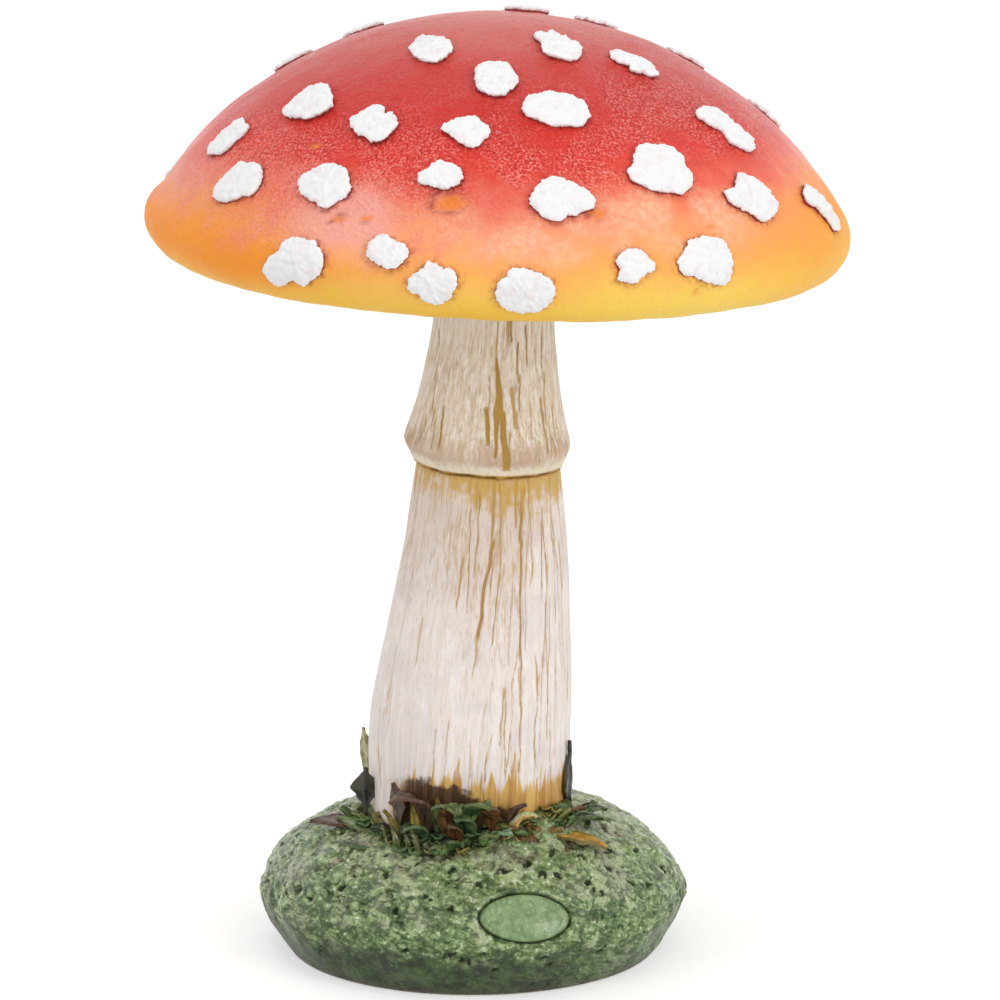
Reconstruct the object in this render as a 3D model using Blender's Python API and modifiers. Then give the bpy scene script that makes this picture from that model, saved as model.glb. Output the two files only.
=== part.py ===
"""Toadstool ornament in painted cast resin: a mossy mound, a tapered stalk and a hollow cap.

Each casting is its own object. The stalk and the cap lean together on one axis, which is an
empty at the bottom of the seat in the mound. Lengths are in metres, angles in degrees.
The front of the ornament faces -Y and the underside of the mound lies at Z = 0.
"""
import math
import random

import bmesh
import bpy
from mathutils import Matrix, Vector

# Fits
CLEARANCE = 0.0003          # between glued faces and round a dowel

# Mound
MOUND_RADIUS = 0.0543       # half width, left to right
MOUND_DEPTH_RATIO = 0.908   # front to back over left to right
MOUND_WAIST = 0.0135        # height of the widest line
MOUND_HEIGHT = 0.0358
MOUND_PLATEAU = 0.024       # radius where the top flattens out
MOUND_FOOT_INSET = 0.0072   # how far the flat underside stays inside the widest line
UPPER_BULGE = 1.1           # exponent of the upper quarter, 1 is an ellipse
LOWER_BULGE = 1.74
BANK_RISE = 0.0045          # moss heaped against the front of the stem
BANK_BEARING = -48.0        # middle of the heap, 0 to the right and -90 to the front
BANK_SPAN = 52.0            # to either side of its middle
BANK_WIDTH = 0.0115         # from the stem's skin to where the heap has died away
SWELL_RISE = 0.0009         # of the low lumps all round its side, over the smooth pebble
SWELLS = ((8, 0.0245, 0.005, 40.0), (10, 0.009, 0.005, 0.0))  # rings: lumps, height, spread, turn
SWELL_DRIFT = 35.0          # how far the lumps of a ring wander from even steps, as a phase

# Lean of stalk and cap
LEAN = 2.75
CAP_TILT = -0.65            # of the cap against the stem, as it was glued on
AXIS_X = -0.00095           # where the axis meets the floor of the seat
SEAT_DEPTH = 0.006          # how far the stem stands in the mound

# Stem, heights from the floor of the seat along the axis
STEM_LENGTH = 0.172
FOOT_RADIUS = 0.0252
BELLY_RADIUS = 0.0259
BELLY_HEIGHT = 0.031
BELLY_ROUNDING = 0.011      # how far above and below the belly its curve reaches
SHOULDER_RADIUS = 0.0181    # under the lip of the skirt
SHOULDER_HEIGHT = 0.0965
SPIGOT_RADIUS = 0.0158      # inside the sleeve, just above the shoulder
NECK_RADIUS = 0.0125        # inside the cap
NECK_STRAIGHT = 0.0095      # of the neck below the gill plate, where the taper of the spigot ends
EDGE_CHAMFER = 0.0008

# Sleeve with the skirt, outside radii and heights above its own lower end
LIP_RADIUS = 0.0184
LIP_ROUNDING = 0.0008
SKIRT_RADIUS = 0.0208
SKIRT_RISE = 0.0052         # from the lip up to the widest line of the skirt
SKIRT_ROUNDING = 0.0017
WAIST_RADIUS = 0.0176
WAIST_RISE = 0.0180
COLLAR_RADIUS = 0.0150
COLLAR_RISE = 0.0340

# Dowels
PIN_RADIUS = 0.004
PIN_DEPTH = 0.018           # of each blind bore
PIN_CHAMFER = 0.0006

# Cap, measured from the centre of its widest circle
CAP_RADIUS = 0.0872
DOME_HEIGHT = 0.0515
RIM_RADIUS = 0.0092         # of the rolled rim
RIM_END_ANGLE = 226.0       # where the roll stops inside, from straight up
CAP_WALL = 0.006
LEDGE_WIDTH = 0.0035
LEDGE_HEIGHT = -0.0012
BOSS_RADIUS = 0.015
BOSS_HEIGHT = 0.0143        # of its lower face, which stands on the stem

# Gill plate
PLATE_THICKNESS = 0.003
HUB_RISE = 0.006            # the plate climbs this much from its rim to its hub
HUB_WIDTH = 0.0045          # flat ring that meets the end of the sleeve
GILL_PAIRS = 24             # one long and one short gill each
GILL_DEPTH = 0.0040
GILL_THICKNESS = 0.0014
GILL_ROOT = 0.001           # how far a gill goes into the plate
GILL_HEEL_SHARE = 0.10      # share of a half wave where a gill's lower edge starts,
GILL_TOE_SHARE = 0.88       # and where it stops
LONG_GILL_START = 0.0205
SHORT_GILL_START = 0.044
GILL_END_GAP = 0.0012       # between a gill's outer end and the edge of the plate

# Warts
WART_THICKNESS = 0.0016
WART_SINK = 0.0012          # the blank starts this far under the skin and is cut to fit it
WART_SIDES = 12
WART_TOP_SHARE = 0.90       # outline of the top over the outline of the base
WART_CROWN_SHARE = 0.58     # the raised middle over the base
WART_RISE_SHARE = 0.15      # rise of the middle over the thickness
WART_SEED = 5

# Bearing round the cap (0 to the right, -90 to the front), distance from the crown along the
# skin, size across and down the slope, and turn on the skin
FRONT_WARTS = (
    (-64, 0.028, 0.0130, 0.0120, 0),
    (-124, 0.034, 0.0125, 0.0105, 25),
    (-37, 0.040, 0.0150, 0.0090, 35),
    (-93, 0.0445, 0.0110, 0.0130, 0),
    (-76, 0.0555, 0.0200, 0.0120, 8),
    (-144, 0.0625, 0.0155, 0.0110, 12),
    (-98, 0.064, 0.0138, 0.0100, 20),
    (-121, 0.065, 0.0125, 0.0120, 25),
    (-29, 0.066, 0.0190, 0.0110, 45),
    (-58, 0.076, 0.0190, 0.0160, -5),
    (-102, 0.078, 0.0120, 0.0085, 0),
    (-159, 0.079, 0.0140, 0.0110, -60),
    (-78, 0.084, 0.0170, 0.0125, -10),
    (-123, 0.085, 0.0142, 0.0130, 12),
    (-38, 0.0875, 0.0185, 0.0135, 10),
    (-144, 0.089, 0.0165, 0.0120, -16),
    (-16, 0.095, 0.0160, 0.0100, 50),
    (-108, 0.100, 0.0115, 0.0090, 25),
    (-68, 0.102, 0.0105, 0.0095, 20),
    (-55, 0.1015, 0.0160, 0.0130, 0),
    (-124, 0.105, 0.0180, 0.0118, -23),
    (-100, 0.106, 0.0130, 0.0110, -15),
    (-86, 0.107, 0.0148, 0.0125, 0),
    (75, 0.021, 0.0120, 0.0100, 0),
    (47, 0.033, 0.0110, 0.0090, 15),
    (26, 0.052, 0.0130, 0.0100, -20),
    (16, 0.074, 0.0130, 0.0100, 10),
    (158, 0.060, 0.0120, 0.0100, 20),
    (147, 0.043, 0.0120, 0.0100, -15),
)
# Rows that carry on round the back: distance from the crown, first bearing, step and count
BACK_ROWS = ((0.066, 72, 40, 2), (0.086, 48, 35, 4), (0.104, 20, 28, 6))
BACK_WART_WIDTH = 0.0150
BACK_WART_HEIGHT = 0.0115

# Foliage round the foot of the stem: bearing, distance from the stem's skin, turn about the
# vertical, length, width, rise of the root, curl to the tip, place of the greatest width
LEAVES = {
    "pale_blade": (168, 0.0004, 75, 0.0225, 0.0036, 84, 8, 0.66),
    "dark_rhomb": (198, 0.0021, 72, 0.0152, 0.0070, 90, 0, 0.66),
    "curled_brown_leaf": (-121, 0.0009, 0, 0.0270, 0.0120, 88, 150, 0.62),
    "arched_green_leaf": (-106, 0.0016, 0, 0.0220, 0.0066, 87, 140, 0.55),
    "broad_green_leaf": (-88, 0.0010, 6, 0.0190, 0.0105, 82, 95, 0.58),
    "dark_oval_leaf": (-97, 0.0064, 0, 0.0100, 0.0076, 62, 50, 0.50),
    "turquoise_leaf": (-78, 0.0053, -8, 0.0095, 0.0054, 55, 60, 0.55),
    "ribbed_cream_leaf": (-63, 0.0013, -10, 0.0140, 0.0100, 66, 85, 0.55),
    "dark_blade": (-6, 0.0012, 4, 0.0185, 0.0050, 84, -14, 0.45),
    "left_grass_blade": (-123, 0.0082, 8, 0.0110, 0.0026, 84, 40, 0.35),
    "right_grass_blade": (-113, 0.0076, -6, 0.0100, 0.0024, 80, 50, 0.35),
    "ochre_leaf": (-42, 0.0055, 36, 0.0165, 0.0085, -8, 26, 0.50),
}
LEAF_THICKNESS = 0.0012
LEAF_SINK = 0.0020          # the root starts this far under the mound's skin
LEAF_END_SHARE = 0.16       # width of the root and of the tip over the greatest width
LEAF_CUP_SHARE = 0.07       # rise of the edges above the midrib over the width

# Facets
MOUND_STEPS = 44
STEM_STEPS = 38
CAP_STEPS = 48
DOME_ARCS = 11
RIM_ARCS = 8

# Derived sizes
DOME_RADIUS = ((CAP_RADIUS - RIM_RADIUS) ** 2 + DOME_HEIGHT ** 2 - RIM_RADIUS ** 2) / (
    2 * (DOME_HEIGHT - RIM_RADIUS))
DOME_CENTRE = DOME_HEIGHT - DOME_RADIUS
DOME_ANGLE = math.asin((CAP_RADIUS - RIM_RADIUS) / (DOME_RADIUS - RIM_RADIUS))
SEAT_HEIGHT = MOUND_HEIGHT - SEAT_DEPTH
CAP_LIFT = STEM_LENGTH + CLEARANCE - BOSS_HEIGHT
PLATE_TOP = LEDGE_HEIGHT - CLEARANCE
HUB_FLOOR = PLATE_TOP + HUB_RISE - PLATE_THICKNESS
NECK_HEIGHT = CAP_LIFT + HUB_FLOOR - NECK_STRAIGHT
SLEEVE_FOOT = SHOULDER_HEIGHT + CLEARANCE
SLEEVE_LENGTH = CAP_LIFT + HUB_FLOOR - CLEARANCE - SLEEVE_FOOT
BORE_RADIUS = PIN_RADIUS + CLEARANCE


def clear_scene():
    """Remove every object, so that the file can run again in the same session."""
    for obj in list(bpy.data.objects):
        bpy.data.objects.remove(obj, do_unlink=True)


def new_collection(name):
    collection = bpy.data.collections.new(name)
    bpy.context.scene.collection.children.link(collection)
    return collection


def paint(name, colour, roughness=0.5, metallic=0.0):
    """A plain Principled material in the colour of the paint."""
    material = bpy.data.materials.new(name)
    material.use_nodes = True
    shader = material.node_tree.nodes["Principled BSDF"]
    shader.inputs["Base Color"].default_value = (*colour, 1.0)
    shader.inputs["Roughness"].default_value = roughness
    shader.inputs["Metallic"].default_value = metallic
    return material


def arc(centre, radius, start, end, steps):
    """Points of an arc in the profile plane, angles in radians from straight up."""
    points = []
    for step in range(steps + 1):
        angle = start + (end - start) * step / steps
        points.append((centre[0] + radius * math.sin(angle), centre[1] + radius * math.cos(angle)))
    return points


def rounded(before, corner, after, reach, steps=4):
    """A soft corner: a quadratic curve that leaves the corner's sides at the given reach."""
    corner = Vector(corner)
    start = corner + (Vector(before) - corner).normalized() * reach
    end = corner + (Vector(after) - corner).normalized() * reach
    points = []
    for step in range(steps + 1):
        t = step / steps
        points.append(tuple((1 - t) ** 2 * start + 2 * t * (1 - t) * corner + t * t * end))
    return points


def add_object(name, mesh, collection, material=None, parent=None):
    obj = bpy.data.objects.new(name, mesh)
    if material:
        mesh.materials.append(material)
    obj.parent = parent
    collection.objects.link(obj)
    return obj


def turned(name, profile, steps, collection, material=None, parent=None):
    """Turn a profile of (radius, height) points, listed down its outer side, about Z."""
    wire = bpy.data.meshes.new(name + "_profile")
    points = [(radius, 0.0, height) for radius, height in profile]
    wire.from_pydata(points, [(i, i + 1) for i in range(len(points) - 1)], [])
    blank = bpy.data.objects.new(name + "_blank", wire)
    collection.objects.link(blank)
    screw = blank.modifiers.new("turn", "SCREW")
    screw.steps = screw.render_steps = steps
    screw.use_merge_vertices = True
    screw.merge_threshold = 0.00001
    depsgraph = bpy.context.evaluated_depsgraph_get()
    mesh = bpy.data.meshes.new_from_object(blank.evaluated_get(depsgraph))
    mesh.name = name
    bpy.data.objects.remove(blank)
    mesh.shade_smooth()
    mesh.set_sharp_from_angle(angle=math.radians(35))
    return add_object(name, mesh, collection, material, parent)


def as_guide(obj):
    """Cutters are drawn as wires and never rendered."""
    obj.hide_render = True
    obj.display_type = "WIRE"
    return obj


def combine(obj, operand, operation):
    boolean = obj.modifiers.new(operand.name, "BOOLEAN")
    boolean.operation = operation
    boolean.object = operand
    boolean.solver = "EXACT"


def axis_empty(name, collection, location, lean, parent=None):
    empty = bpy.data.objects.new(name, None)
    empty.location = location
    empty.rotation_euler = (0.0, math.radians(lean), 0.0)
    empty.parent = parent
    collection.objects.link(empty)
    return empty


def power_arc(centre_radius, reach, base, rise, exponent, start, end, steps):
    """A quarter of the pebble's section, fuller than an ellipse where the exponent is over 1."""
    points = []
    for step in range(steps + 1):
        angle = math.radians(start + (end - start) * step / steps)
        radius = centre_radius + reach * math.cos(angle) ** exponent
        points.append((radius, base + rise * math.sin(angle) ** exponent))
    return points


def mound_profile(grow=0.0):
    """The pebble from its top centre, over the widest line, to the centre of its underside."""
    top = power_arc(MOUND_PLATEAU, MOUND_RADIUS + grow - MOUND_PLATEAU, MOUND_WAIST,
                    MOUND_HEIGHT + grow - MOUND_WAIST, UPPER_BULGE, 90, 0, 9)
    underside = power_arc(MOUND_RADIUS + grow - MOUND_FOOT_INSET, MOUND_FOOT_INSET, MOUND_WAIST,
                          -MOUND_WAIST, LOWER_BULGE, 0, 90, 6)
    return [(0.0, MOUND_HEIGHT + grow)] + top + underside[1:] + [(0.0, 0.0)]


def bank_rise(x, y):
    """How much the moss is heaped up over a point of the ground."""
    bearing = math.degrees(math.atan2(y, x)) - BANK_BEARING
    bearing = (bearing + 180) % 360 - 180
    outside = (math.hypot(x, y) - FOOT_RADIUS) / BANK_WIDTH
    if abs(bearing) >= BANK_SPAN or outside >= 1.0:
        return 0.0
    slope = math.cos(math.pi / 2 * max(0.0, outside)) ** 2
    return BANK_RISE * slope * math.cos(math.pi / 2 * bearing / BANK_SPAN) ** 0.7


def swell(bearing, height):
    """How far the lumps push the side of the mound outwards at a bearing and a height."""
    total = 0.0
    for count, middle, spread, turn in SWELLS:
        phase = count * bearing + math.radians(turn + SWELL_DRIFT * math.sin(2 * bearing + count))
        total += math.cos(phase) * math.exp(-((height - middle) / spread) ** 2)
    return SWELL_RISE * total


def shape_mound(mesh):
    """Make the round pebble oval and lumpy, and heap up the moss."""
    for vert in mesh.vertices:
        radius = math.hypot(vert.co.x, vert.co.y)
        if radius > MOUND_PLATEAU:
            push = 1 + swell(math.atan2(vert.co.y, vert.co.x), vert.co.z) / radius
            vert.co.x *= push
            vert.co.y *= push
    mesh.transform(Matrix.Diagonal((1.0, MOUND_DEPTH_RATIO, 1.0, 1.0)))
    for vert in mesh.vertices:
        if vert.co.z > MOUND_WAIST:
            vert.co.z += bank_rise(vert.co.x, vert.co.y)


def mound_height(x, y):
    """Height of the mound's skin over a point of the ground."""
    radius = math.hypot(x, y / MOUND_DEPTH_RATIO)
    share = max(0.0, (radius - MOUND_PLATEAU) / (MOUND_RADIUS - MOUND_PLATEAU))
    angle = math.acos(min(1.0, share ** (1 / UPPER_BULGE)))
    pebble = MOUND_WAIST + (MOUND_HEIGHT - MOUND_WAIST) * math.sin(angle) ** UPPER_BULGE
    return pebble + bank_rise(x, y)


def build_mound(parts, cutters, stalk_axis):
    """The pebble, with the leaning seat and the blind bore that take the stem and its dowel."""
    moss = paint("moss", (0.10, 0.22, 0.07), 0.35)
    mound = turned("mound", mound_profile(), MOUND_STEPS, parts, moss)
    shape_mound(mound.data)
    seat_radius = FOOT_RADIUS + CLEARANCE
    rim = SEAT_DEPTH + 2 * BANK_RISE
    profile = [(0.0, rim), (seat_radius, rim), (seat_radius, 0.0),
               (BORE_RADIUS, 0.0), (BORE_RADIUS, -PIN_DEPTH), (0.0, -PIN_DEPTH)]
    seat = as_guide(turned("stem_seat", profile, STEM_STEPS, cutters, parent=stalk_axis))
    combine(mound, seat, "DIFFERENCE")
    return mound


def stem_outline(grow=0.0):
    """Outer side of the visible stem, from the shoulder down to its foot."""
    shoulder = (SHOULDER_RADIUS + grow, SHOULDER_HEIGHT)
    belly = (BELLY_RADIUS + grow, BELLY_HEIGHT)
    foot = (FOOT_RADIUS + grow, CLEARANCE)
    return [shoulder] + rounded(shoulder, belly, foot, BELLY_ROUNDING, 6) + [foot]


def build_stem(parts, stalk_axis):
    """The stem: shoulder under the skirt, tapered spigot in the sleeve, bored at both ends."""
    top = STEM_LENGTH
    outer = [(BORE_RADIUS, top), (NECK_RADIUS - EDGE_CHAMFER, top)]
    outer += [(NECK_RADIUS, top - EDGE_CHAMFER), (NECK_RADIUS, NECK_HEIGHT)]
    outer += [(SPIGOT_RADIUS, SHOULDER_HEIGHT)]
    outer += [(SHOULDER_RADIUS - EDGE_CHAMFER / 2, SHOULDER_HEIGHT)]
    outer += [(SHOULDER_RADIUS, SHOULDER_HEIGHT - EDGE_CHAMFER / 2)] + stem_outline()[1:-1]
    foot = [(FOOT_RADIUS, CLEARANCE + EDGE_CHAMFER), (FOOT_RADIUS - EDGE_CHAMFER, CLEARANCE)]
    lower_bore = [(BORE_RADIUS, CLEARANCE), (BORE_RADIUS, PIN_DEPTH), (0.0, PIN_DEPTH)]
    profile = [(0.0, top - PIN_DEPTH), (BORE_RADIUS, top - PIN_DEPTH)] + outer + foot + lower_bore
    cream = paint("stem_cream", (0.75, 0.64, 0.55), 0.6)
    return turned("stem", profile, STEM_STEPS, parts, cream, stalk_axis)


def sleeve_bore_radius(height):
    """The bore follows the taper of the stem's spigot at a fit clearance."""
    share = min(1.0, max(0.0, (height - SHOULDER_HEIGHT) / (NECK_HEIGHT - SHOULDER_HEIGHT)))
    return SPIGOT_RADIUS + (NECK_RADIUS - SPIGOT_RADIUS) * share + CLEARANCE


def build_sleeve(parts, stalk_axis):
    """The upper stalk: it stands on the stem's shoulder and flares into the skirt and its lip."""
    collar = (COLLAR_RADIUS, COLLAR_RISE)
    waist = (WAIST_RADIUS, WAIST_RISE)
    skirt = (SKIRT_RADIUS, SKIRT_RISE)
    lip = (LIP_RADIUS, 0.0)
    top = SLEEVE_LENGTH
    inner_top = sleeve_bore_radius(SLEEVE_FOOT + top)
    inner_foot = sleeve_bore_radius(SLEEVE_FOOT)
    outer = [(COLLAR_RADIUS, top)]
    outer += rounded((COLLAR_RADIUS, top), collar, waist, WAIST_RISE / 3, 3)
    outer += rounded(collar, waist, skirt, WAIST_RISE / 4, 4)
    outer += rounded(waist, skirt, lip, SKIRT_ROUNDING, 4)
    outer += rounded(skirt, lip, (inner_foot, 0.0), LIP_ROUNDING, 3)
    neck_end = NECK_HEIGHT - SLEEVE_FOOT
    bore = [(inner_foot, 0.0), (sleeve_bore_radius(NECK_HEIGHT), neck_end), (inner_top, top)]
    sleeve = turned("skirt_sleeve", outer + bore + [outer[0]], STEM_STEPS, parts,
                    paint("skirt_beige", (0.68, 0.56, 0.46), 0.6), stalk_axis)
    sleeve.location = (0.0, 0.0, SLEEVE_FOOT)
    return sleeve


def build_pin(name, height, parts, parent):
    """A steel dowel, half of it in each of the two castings that meet at the given height."""
    mesh = bpy.data.meshes.new(name)
    bm = bmesh.new()
    bmesh.ops.create_cone(bm, cap_ends=True, segments=20, radius1=PIN_RADIUS, radius2=PIN_RADIUS,
                          depth=2 * (PIN_DEPTH - 2 * CLEARANCE))
    bm.to_mesh(mesh)
    bm.free()
    mesh.shade_smooth()
    mesh.set_sharp_from_angle(angle=math.radians(35))
    pin = add_object(name, mesh, parts, paint(name + "_steel", (0.6, 0.6, 0.62), 0.3, 1.0), parent)
    pin.location = (0.0, 0.0, height)
    bevel = pin.modifiers.new("chamfer", "BEVEL")
    bevel.width = PIN_CHAMFER
    bevel.segments = 1
    bevel.limit_method = "ANGLE"
    return pin


def cap_skin(grow=0.0):
    """The outer side of the cap: a dome arc that runs smoothly into the rolled rim."""
    dome = arc((0.0, DOME_CENTRE), DOME_RADIUS + grow, 0.0, DOME_ANGLE, DOME_ARCS)
    rim = arc((CAP_RADIUS - RIM_RADIUS, 0.0), RIM_RADIUS + grow, DOME_ANGLE,
              math.radians(RIM_END_ANGLE), RIM_ARCS)
    return dome + rim[1:]


def build_cap(parts, cap_axis):
    """The hollow cap: rolled rim, ledge for the gill plate, and a bored boss on the stem."""
    skin = cap_skin()
    socket = skin[-1][0]
    inner_radius = DOME_RADIUS - CAP_WALL
    wall = socket - LEDGE_WIDTH
    start = math.asin(wall / inner_radius)
    end = math.asin(BOSS_RADIUS / inner_radius)
    ceiling = arc((0.0, DOME_CENTRE), inner_radius, start, end, 6)
    boss = [(BOSS_RADIUS, BOSS_HEIGHT), (BORE_RADIUS, BOSS_HEIGHT),
            (BORE_RADIUS, BOSS_HEIGHT + PIN_DEPTH), (0.0, BOSS_HEIGHT + PIN_DEPTH)]
    profile = skin + [(socket, LEDGE_HEIGHT), (wall, LEDGE_HEIGHT)] + ceiling + boss
    red = paint("cap_red", (0.55, 0.06, 0.03), 0.3)
    return turned("cap_shell", profile, CAP_STEPS, parts, red, cap_axis)


def plate_floor(radius, plate_radius):
    """Height of the gill plate's underside: flat at the hub, then sloping down to the edge."""
    hub_edge = NECK_RADIUS + CLEARANCE + HUB_WIDTH
    share = min(1.0, max(0.0, (radius - hub_edge) / (plate_radius - hub_edge)))
    return HUB_FLOOR - HUB_RISE * share


def gill_strips(plate_radius, cutters, cap_axis):
    """Every gill as an upright strip, deepest near its middle, thickened by one Solidify."""
    bm = bmesh.new()
    for number in range(2 * GILL_PAIRS):
        start = SHORT_GILL_START if number % 2 else LONG_GILL_START
        end = plate_radius - GILL_END_GAP
        strip = bmesh.ops.create_grid(bm, x_segments=3, y_segments=1, size=1.0)["verts"]
        turn = Matrix.Rotation(math.pi * number / GILL_PAIRS, 3, "Z")
        for vert in strip:
            share = (vert.co.x + 1) / 2
            radius = start + (end - start) * share
            height = plate_floor(radius, plate_radius)
            if vert.co.y > 0:
                height += GILL_ROOT
            else:
                wave = GILL_HEEL_SHARE + (GILL_TOE_SHARE - GILL_HEEL_SHARE) * share
                height -= GILL_DEPTH * math.sin(math.pi * wave) ** 0.7
            vert.co = turn @ Vector((radius, 0.0, height))
    mesh = bpy.data.meshes.new("gills")
    bm.to_mesh(mesh)
    bm.free()
    gills = as_guide(add_object("gills", mesh, cutters, parent=cap_axis))
    solidify = gills.modifiers.new("thickness", "SOLIDIFY")
    solidify.thickness = GILL_THICKNESS
    solidify.offset = 0.0
    return gills


def build_gill_plate(parts, cutters, cap_axis):
    """The disc that closes the cap from below, with long and short gills by turns."""
    plate_radius = cap_skin()[-1][0] - CLEARANCE
    hub_hole = NECK_RADIUS + CLEARANCE
    hub_edge = hub_hole + HUB_WIDTH
    ledge_inside = plate_radius - LEDGE_WIDTH
    top = [(hub_hole, HUB_FLOOR + PLATE_THICKNESS), (hub_edge, HUB_FLOOR + PLATE_THICKNESS),
           (ledge_inside, PLATE_TOP), (plate_radius, PLATE_TOP)]
    bottom = [(plate_radius, plate_floor(plate_radius, plate_radius)), (hub_edge, HUB_FLOOR),
              (hub_hole, HUB_FLOOR)]
    plate = turned("gill_plate", top + bottom + [top[0]], CAP_STEPS, parts,
                   paint("gill_cream", (0.80, 0.70, 0.52), 0.6), cap_axis)
    combine(plate, gill_strips(plate_radius, cutters, cap_axis), "UNION")
    return plate


def skin_point(bearing, reach, lift):
    """A point over the cap's skin: bearing in radians, reach along the skin from the crown."""
    dome_reach = DOME_RADIUS * DOME_ANGLE
    if reach <= dome_reach:
        centre = (0.0, DOME_CENTRE)
        radius = DOME_RADIUS
        angle = reach / DOME_RADIUS
    else:
        centre = (CAP_RADIUS - RIM_RADIUS, 0.0)
        radius = RIM_RADIUS
        angle = DOME_ANGLE + (reach - dome_reach) / RIM_RADIUS
    out = centre[0] + (radius + lift) * math.sin(angle)
    return Vector((out * math.cos(bearing), out * math.sin(bearing),
                   centre[1] + (radius + lift) * math.cos(angle)))


def skin_frame(bearing, reach):
    """Placement on the skin: X runs round the cap, Y up the slope, Z out of the skin."""
    origin = skin_point(bearing, reach, 0.0)
    outward = (skin_point(bearing, reach, 0.001) - origin).normalized()
    around = Vector((-math.sin(bearing), math.cos(bearing), 0.0))
    uphill = outward.cross(around)
    rows = Matrix((around, uphill, outward)).transposed()
    return Matrix.Translation(origin) @ rows.to_4x4()


def wart_blank(rng):
    """A torn chip of unit size: ragged outline, steep edge, and a raised middle."""
    bm = bmesh.new()
    bmesh.ops.create_cone(bm, cap_ends=True, segments=WART_SIDES, radius1=1.0,
                          radius2=WART_TOP_SHARE, depth=1.0)
    lid = max(bm.faces, key=lambda face: face.calc_center_median().z)
    bmesh.ops.inset_region(bm, faces=[lid], thickness=WART_TOP_SHARE - WART_CROWN_SHARE,
                           use_even_offset=False)
    middle = bmesh.ops.poke(bm, faces=[lid])["verts"][0]
    crown = {middle} | {edge.other_vert(middle) for edge in middle.link_edges}
    for vert in crown:
        vert.co.z += WART_RISE_SHARE
    phases = [rng.uniform(0.0, 2 * math.pi) for _ in range(3)]
    for vert in bm.verts:
        angle = math.atan2(vert.co.y, vert.co.x)
        lobes = 1.0 + 0.08 * math.sin(2 * angle + phases[0])
        lobes += 0.08 * math.sin(3 * angle + phases[1]) + 0.06 * math.sin(5 * angle + phases[2])
        lobes += 0.05 * math.cos(WART_SIDES / 2 * angle)
        vert.co.x *= lobes
        vert.co.y *= lobes
        if vert.co.z > 0:
            vert.co.z += rng.uniform(-0.05, 0.05)
    return bm


def build_wart(name, spot, rng, room, parts, cap_axis, material):
    """Wrap a blank on the cap's skin and cut its underside to lie on the skin."""
    bearing, reach, across, down, turn = spot
    bearing = math.radians(bearing)
    placement = skin_frame(bearing, reach)
    to_wart = placement.inverted()
    ring = math.hypot(placement.translation.x, placement.translation.y)
    spin = Matrix.Rotation(math.radians(turn), 3, "Z")
    thickness = WART_THICKNESS * rng.uniform(0.88, 1.12)
    bm = wart_blank(rng)
    for vert in bm.verts:
        flat = spin @ Vector((vert.co.x * across / 2, vert.co.y * down / 2, 0.0))
        lift = thickness * (vert.co.z + 0.5) if vert.co.z > 0 else -WART_SINK
        vert.co = to_wart @ skin_point(bearing + flat.x / ring, reach - flat.y, lift)
    mesh = bpy.data.meshes.new(name)
    bm.to_mesh(mesh)
    bm.free()
    wart = add_object(name, mesh, parts, material, cap_axis)
    wart.matrix_local = placement
    combine(wart, room, "DIFFERENCE")
    return wart


def wart_spots():
    """The warts seen from the front, then the rows that carry on round the back."""
    spots = list(FRONT_WARTS)
    for reach, first, step, count in BACK_ROWS:
        for number in range(count):
            bearing = first + step * number
            turn = 20 * (-1) ** number
            spots.append((bearing, reach, BACK_WART_WIDTH, BACK_WART_HEIGHT, turn))
    return spots


def build_warts(parts, cutters, cap_axis):
    """Chalky chips, each its own piece, all cut by one copy of the cap's skin."""
    skin = cap_skin(CLEARANCE)
    profile = skin + [(0.0, skin[-1][1])]
    room = as_guide(turned("skin_room", profile, CAP_STEPS, cutters, parent=cap_axis))
    rng = random.Random(WART_SEED)
    chalk = paint("wart_chalk", (0.86, 0.85, 0.82), 0.8)
    for number, spot in enumerate(wart_spots(), start=1):
        build_wart(f"wart_{number:02d}", spot, rng, room, parts, cap_axis, chalk)


def leaf_mesh(name, length, width, rise, curl, widest):
    """A leaf that grows up from its root along Z and curls over toward +Y."""
    bm = bmesh.new()
    bmesh.ops.create_grid(bm, x_segments=2, y_segments=6, size=1.0)
    rows = 60
    path = [Vector((0.0, 0.0))]
    for row in range(rows):
        angle = math.radians(rise - curl * ((row + 0.5) / rows) ** 2)
        path.append(path[-1] + Vector((math.cos(angle), math.sin(angle))) * (length / rows))
    power = math.log(0.5) / math.log(widest)
    for vert in bm.verts:
        share = (vert.co.y + 1) / 2
        half = width / 2 * max(LEAF_END_SHARE, math.sin(math.pi * share ** power))
        angle = math.radians(rise - curl * share ** 2)
        cup = LEAF_CUP_SHARE * width * abs(vert.co.x) * half / (width / 2)
        spine = path[round(share * rows)]
        vert.co = Vector((vert.co.x * half, spine.x - cup * math.sin(angle),
                          spine.y + cup * math.cos(angle)))
    mesh = bpy.data.meshes.new(name)
    bm.to_mesh(mesh)
    bm.free()
    return mesh


def stem_radius(height):
    """Radius of the stem between its foot and its belly."""
    share = min(1.0, height / BELLY_HEIGHT)
    return FOOT_RADIUS + (BELLY_RADIUS - FOOT_RADIUS) * share


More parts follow.
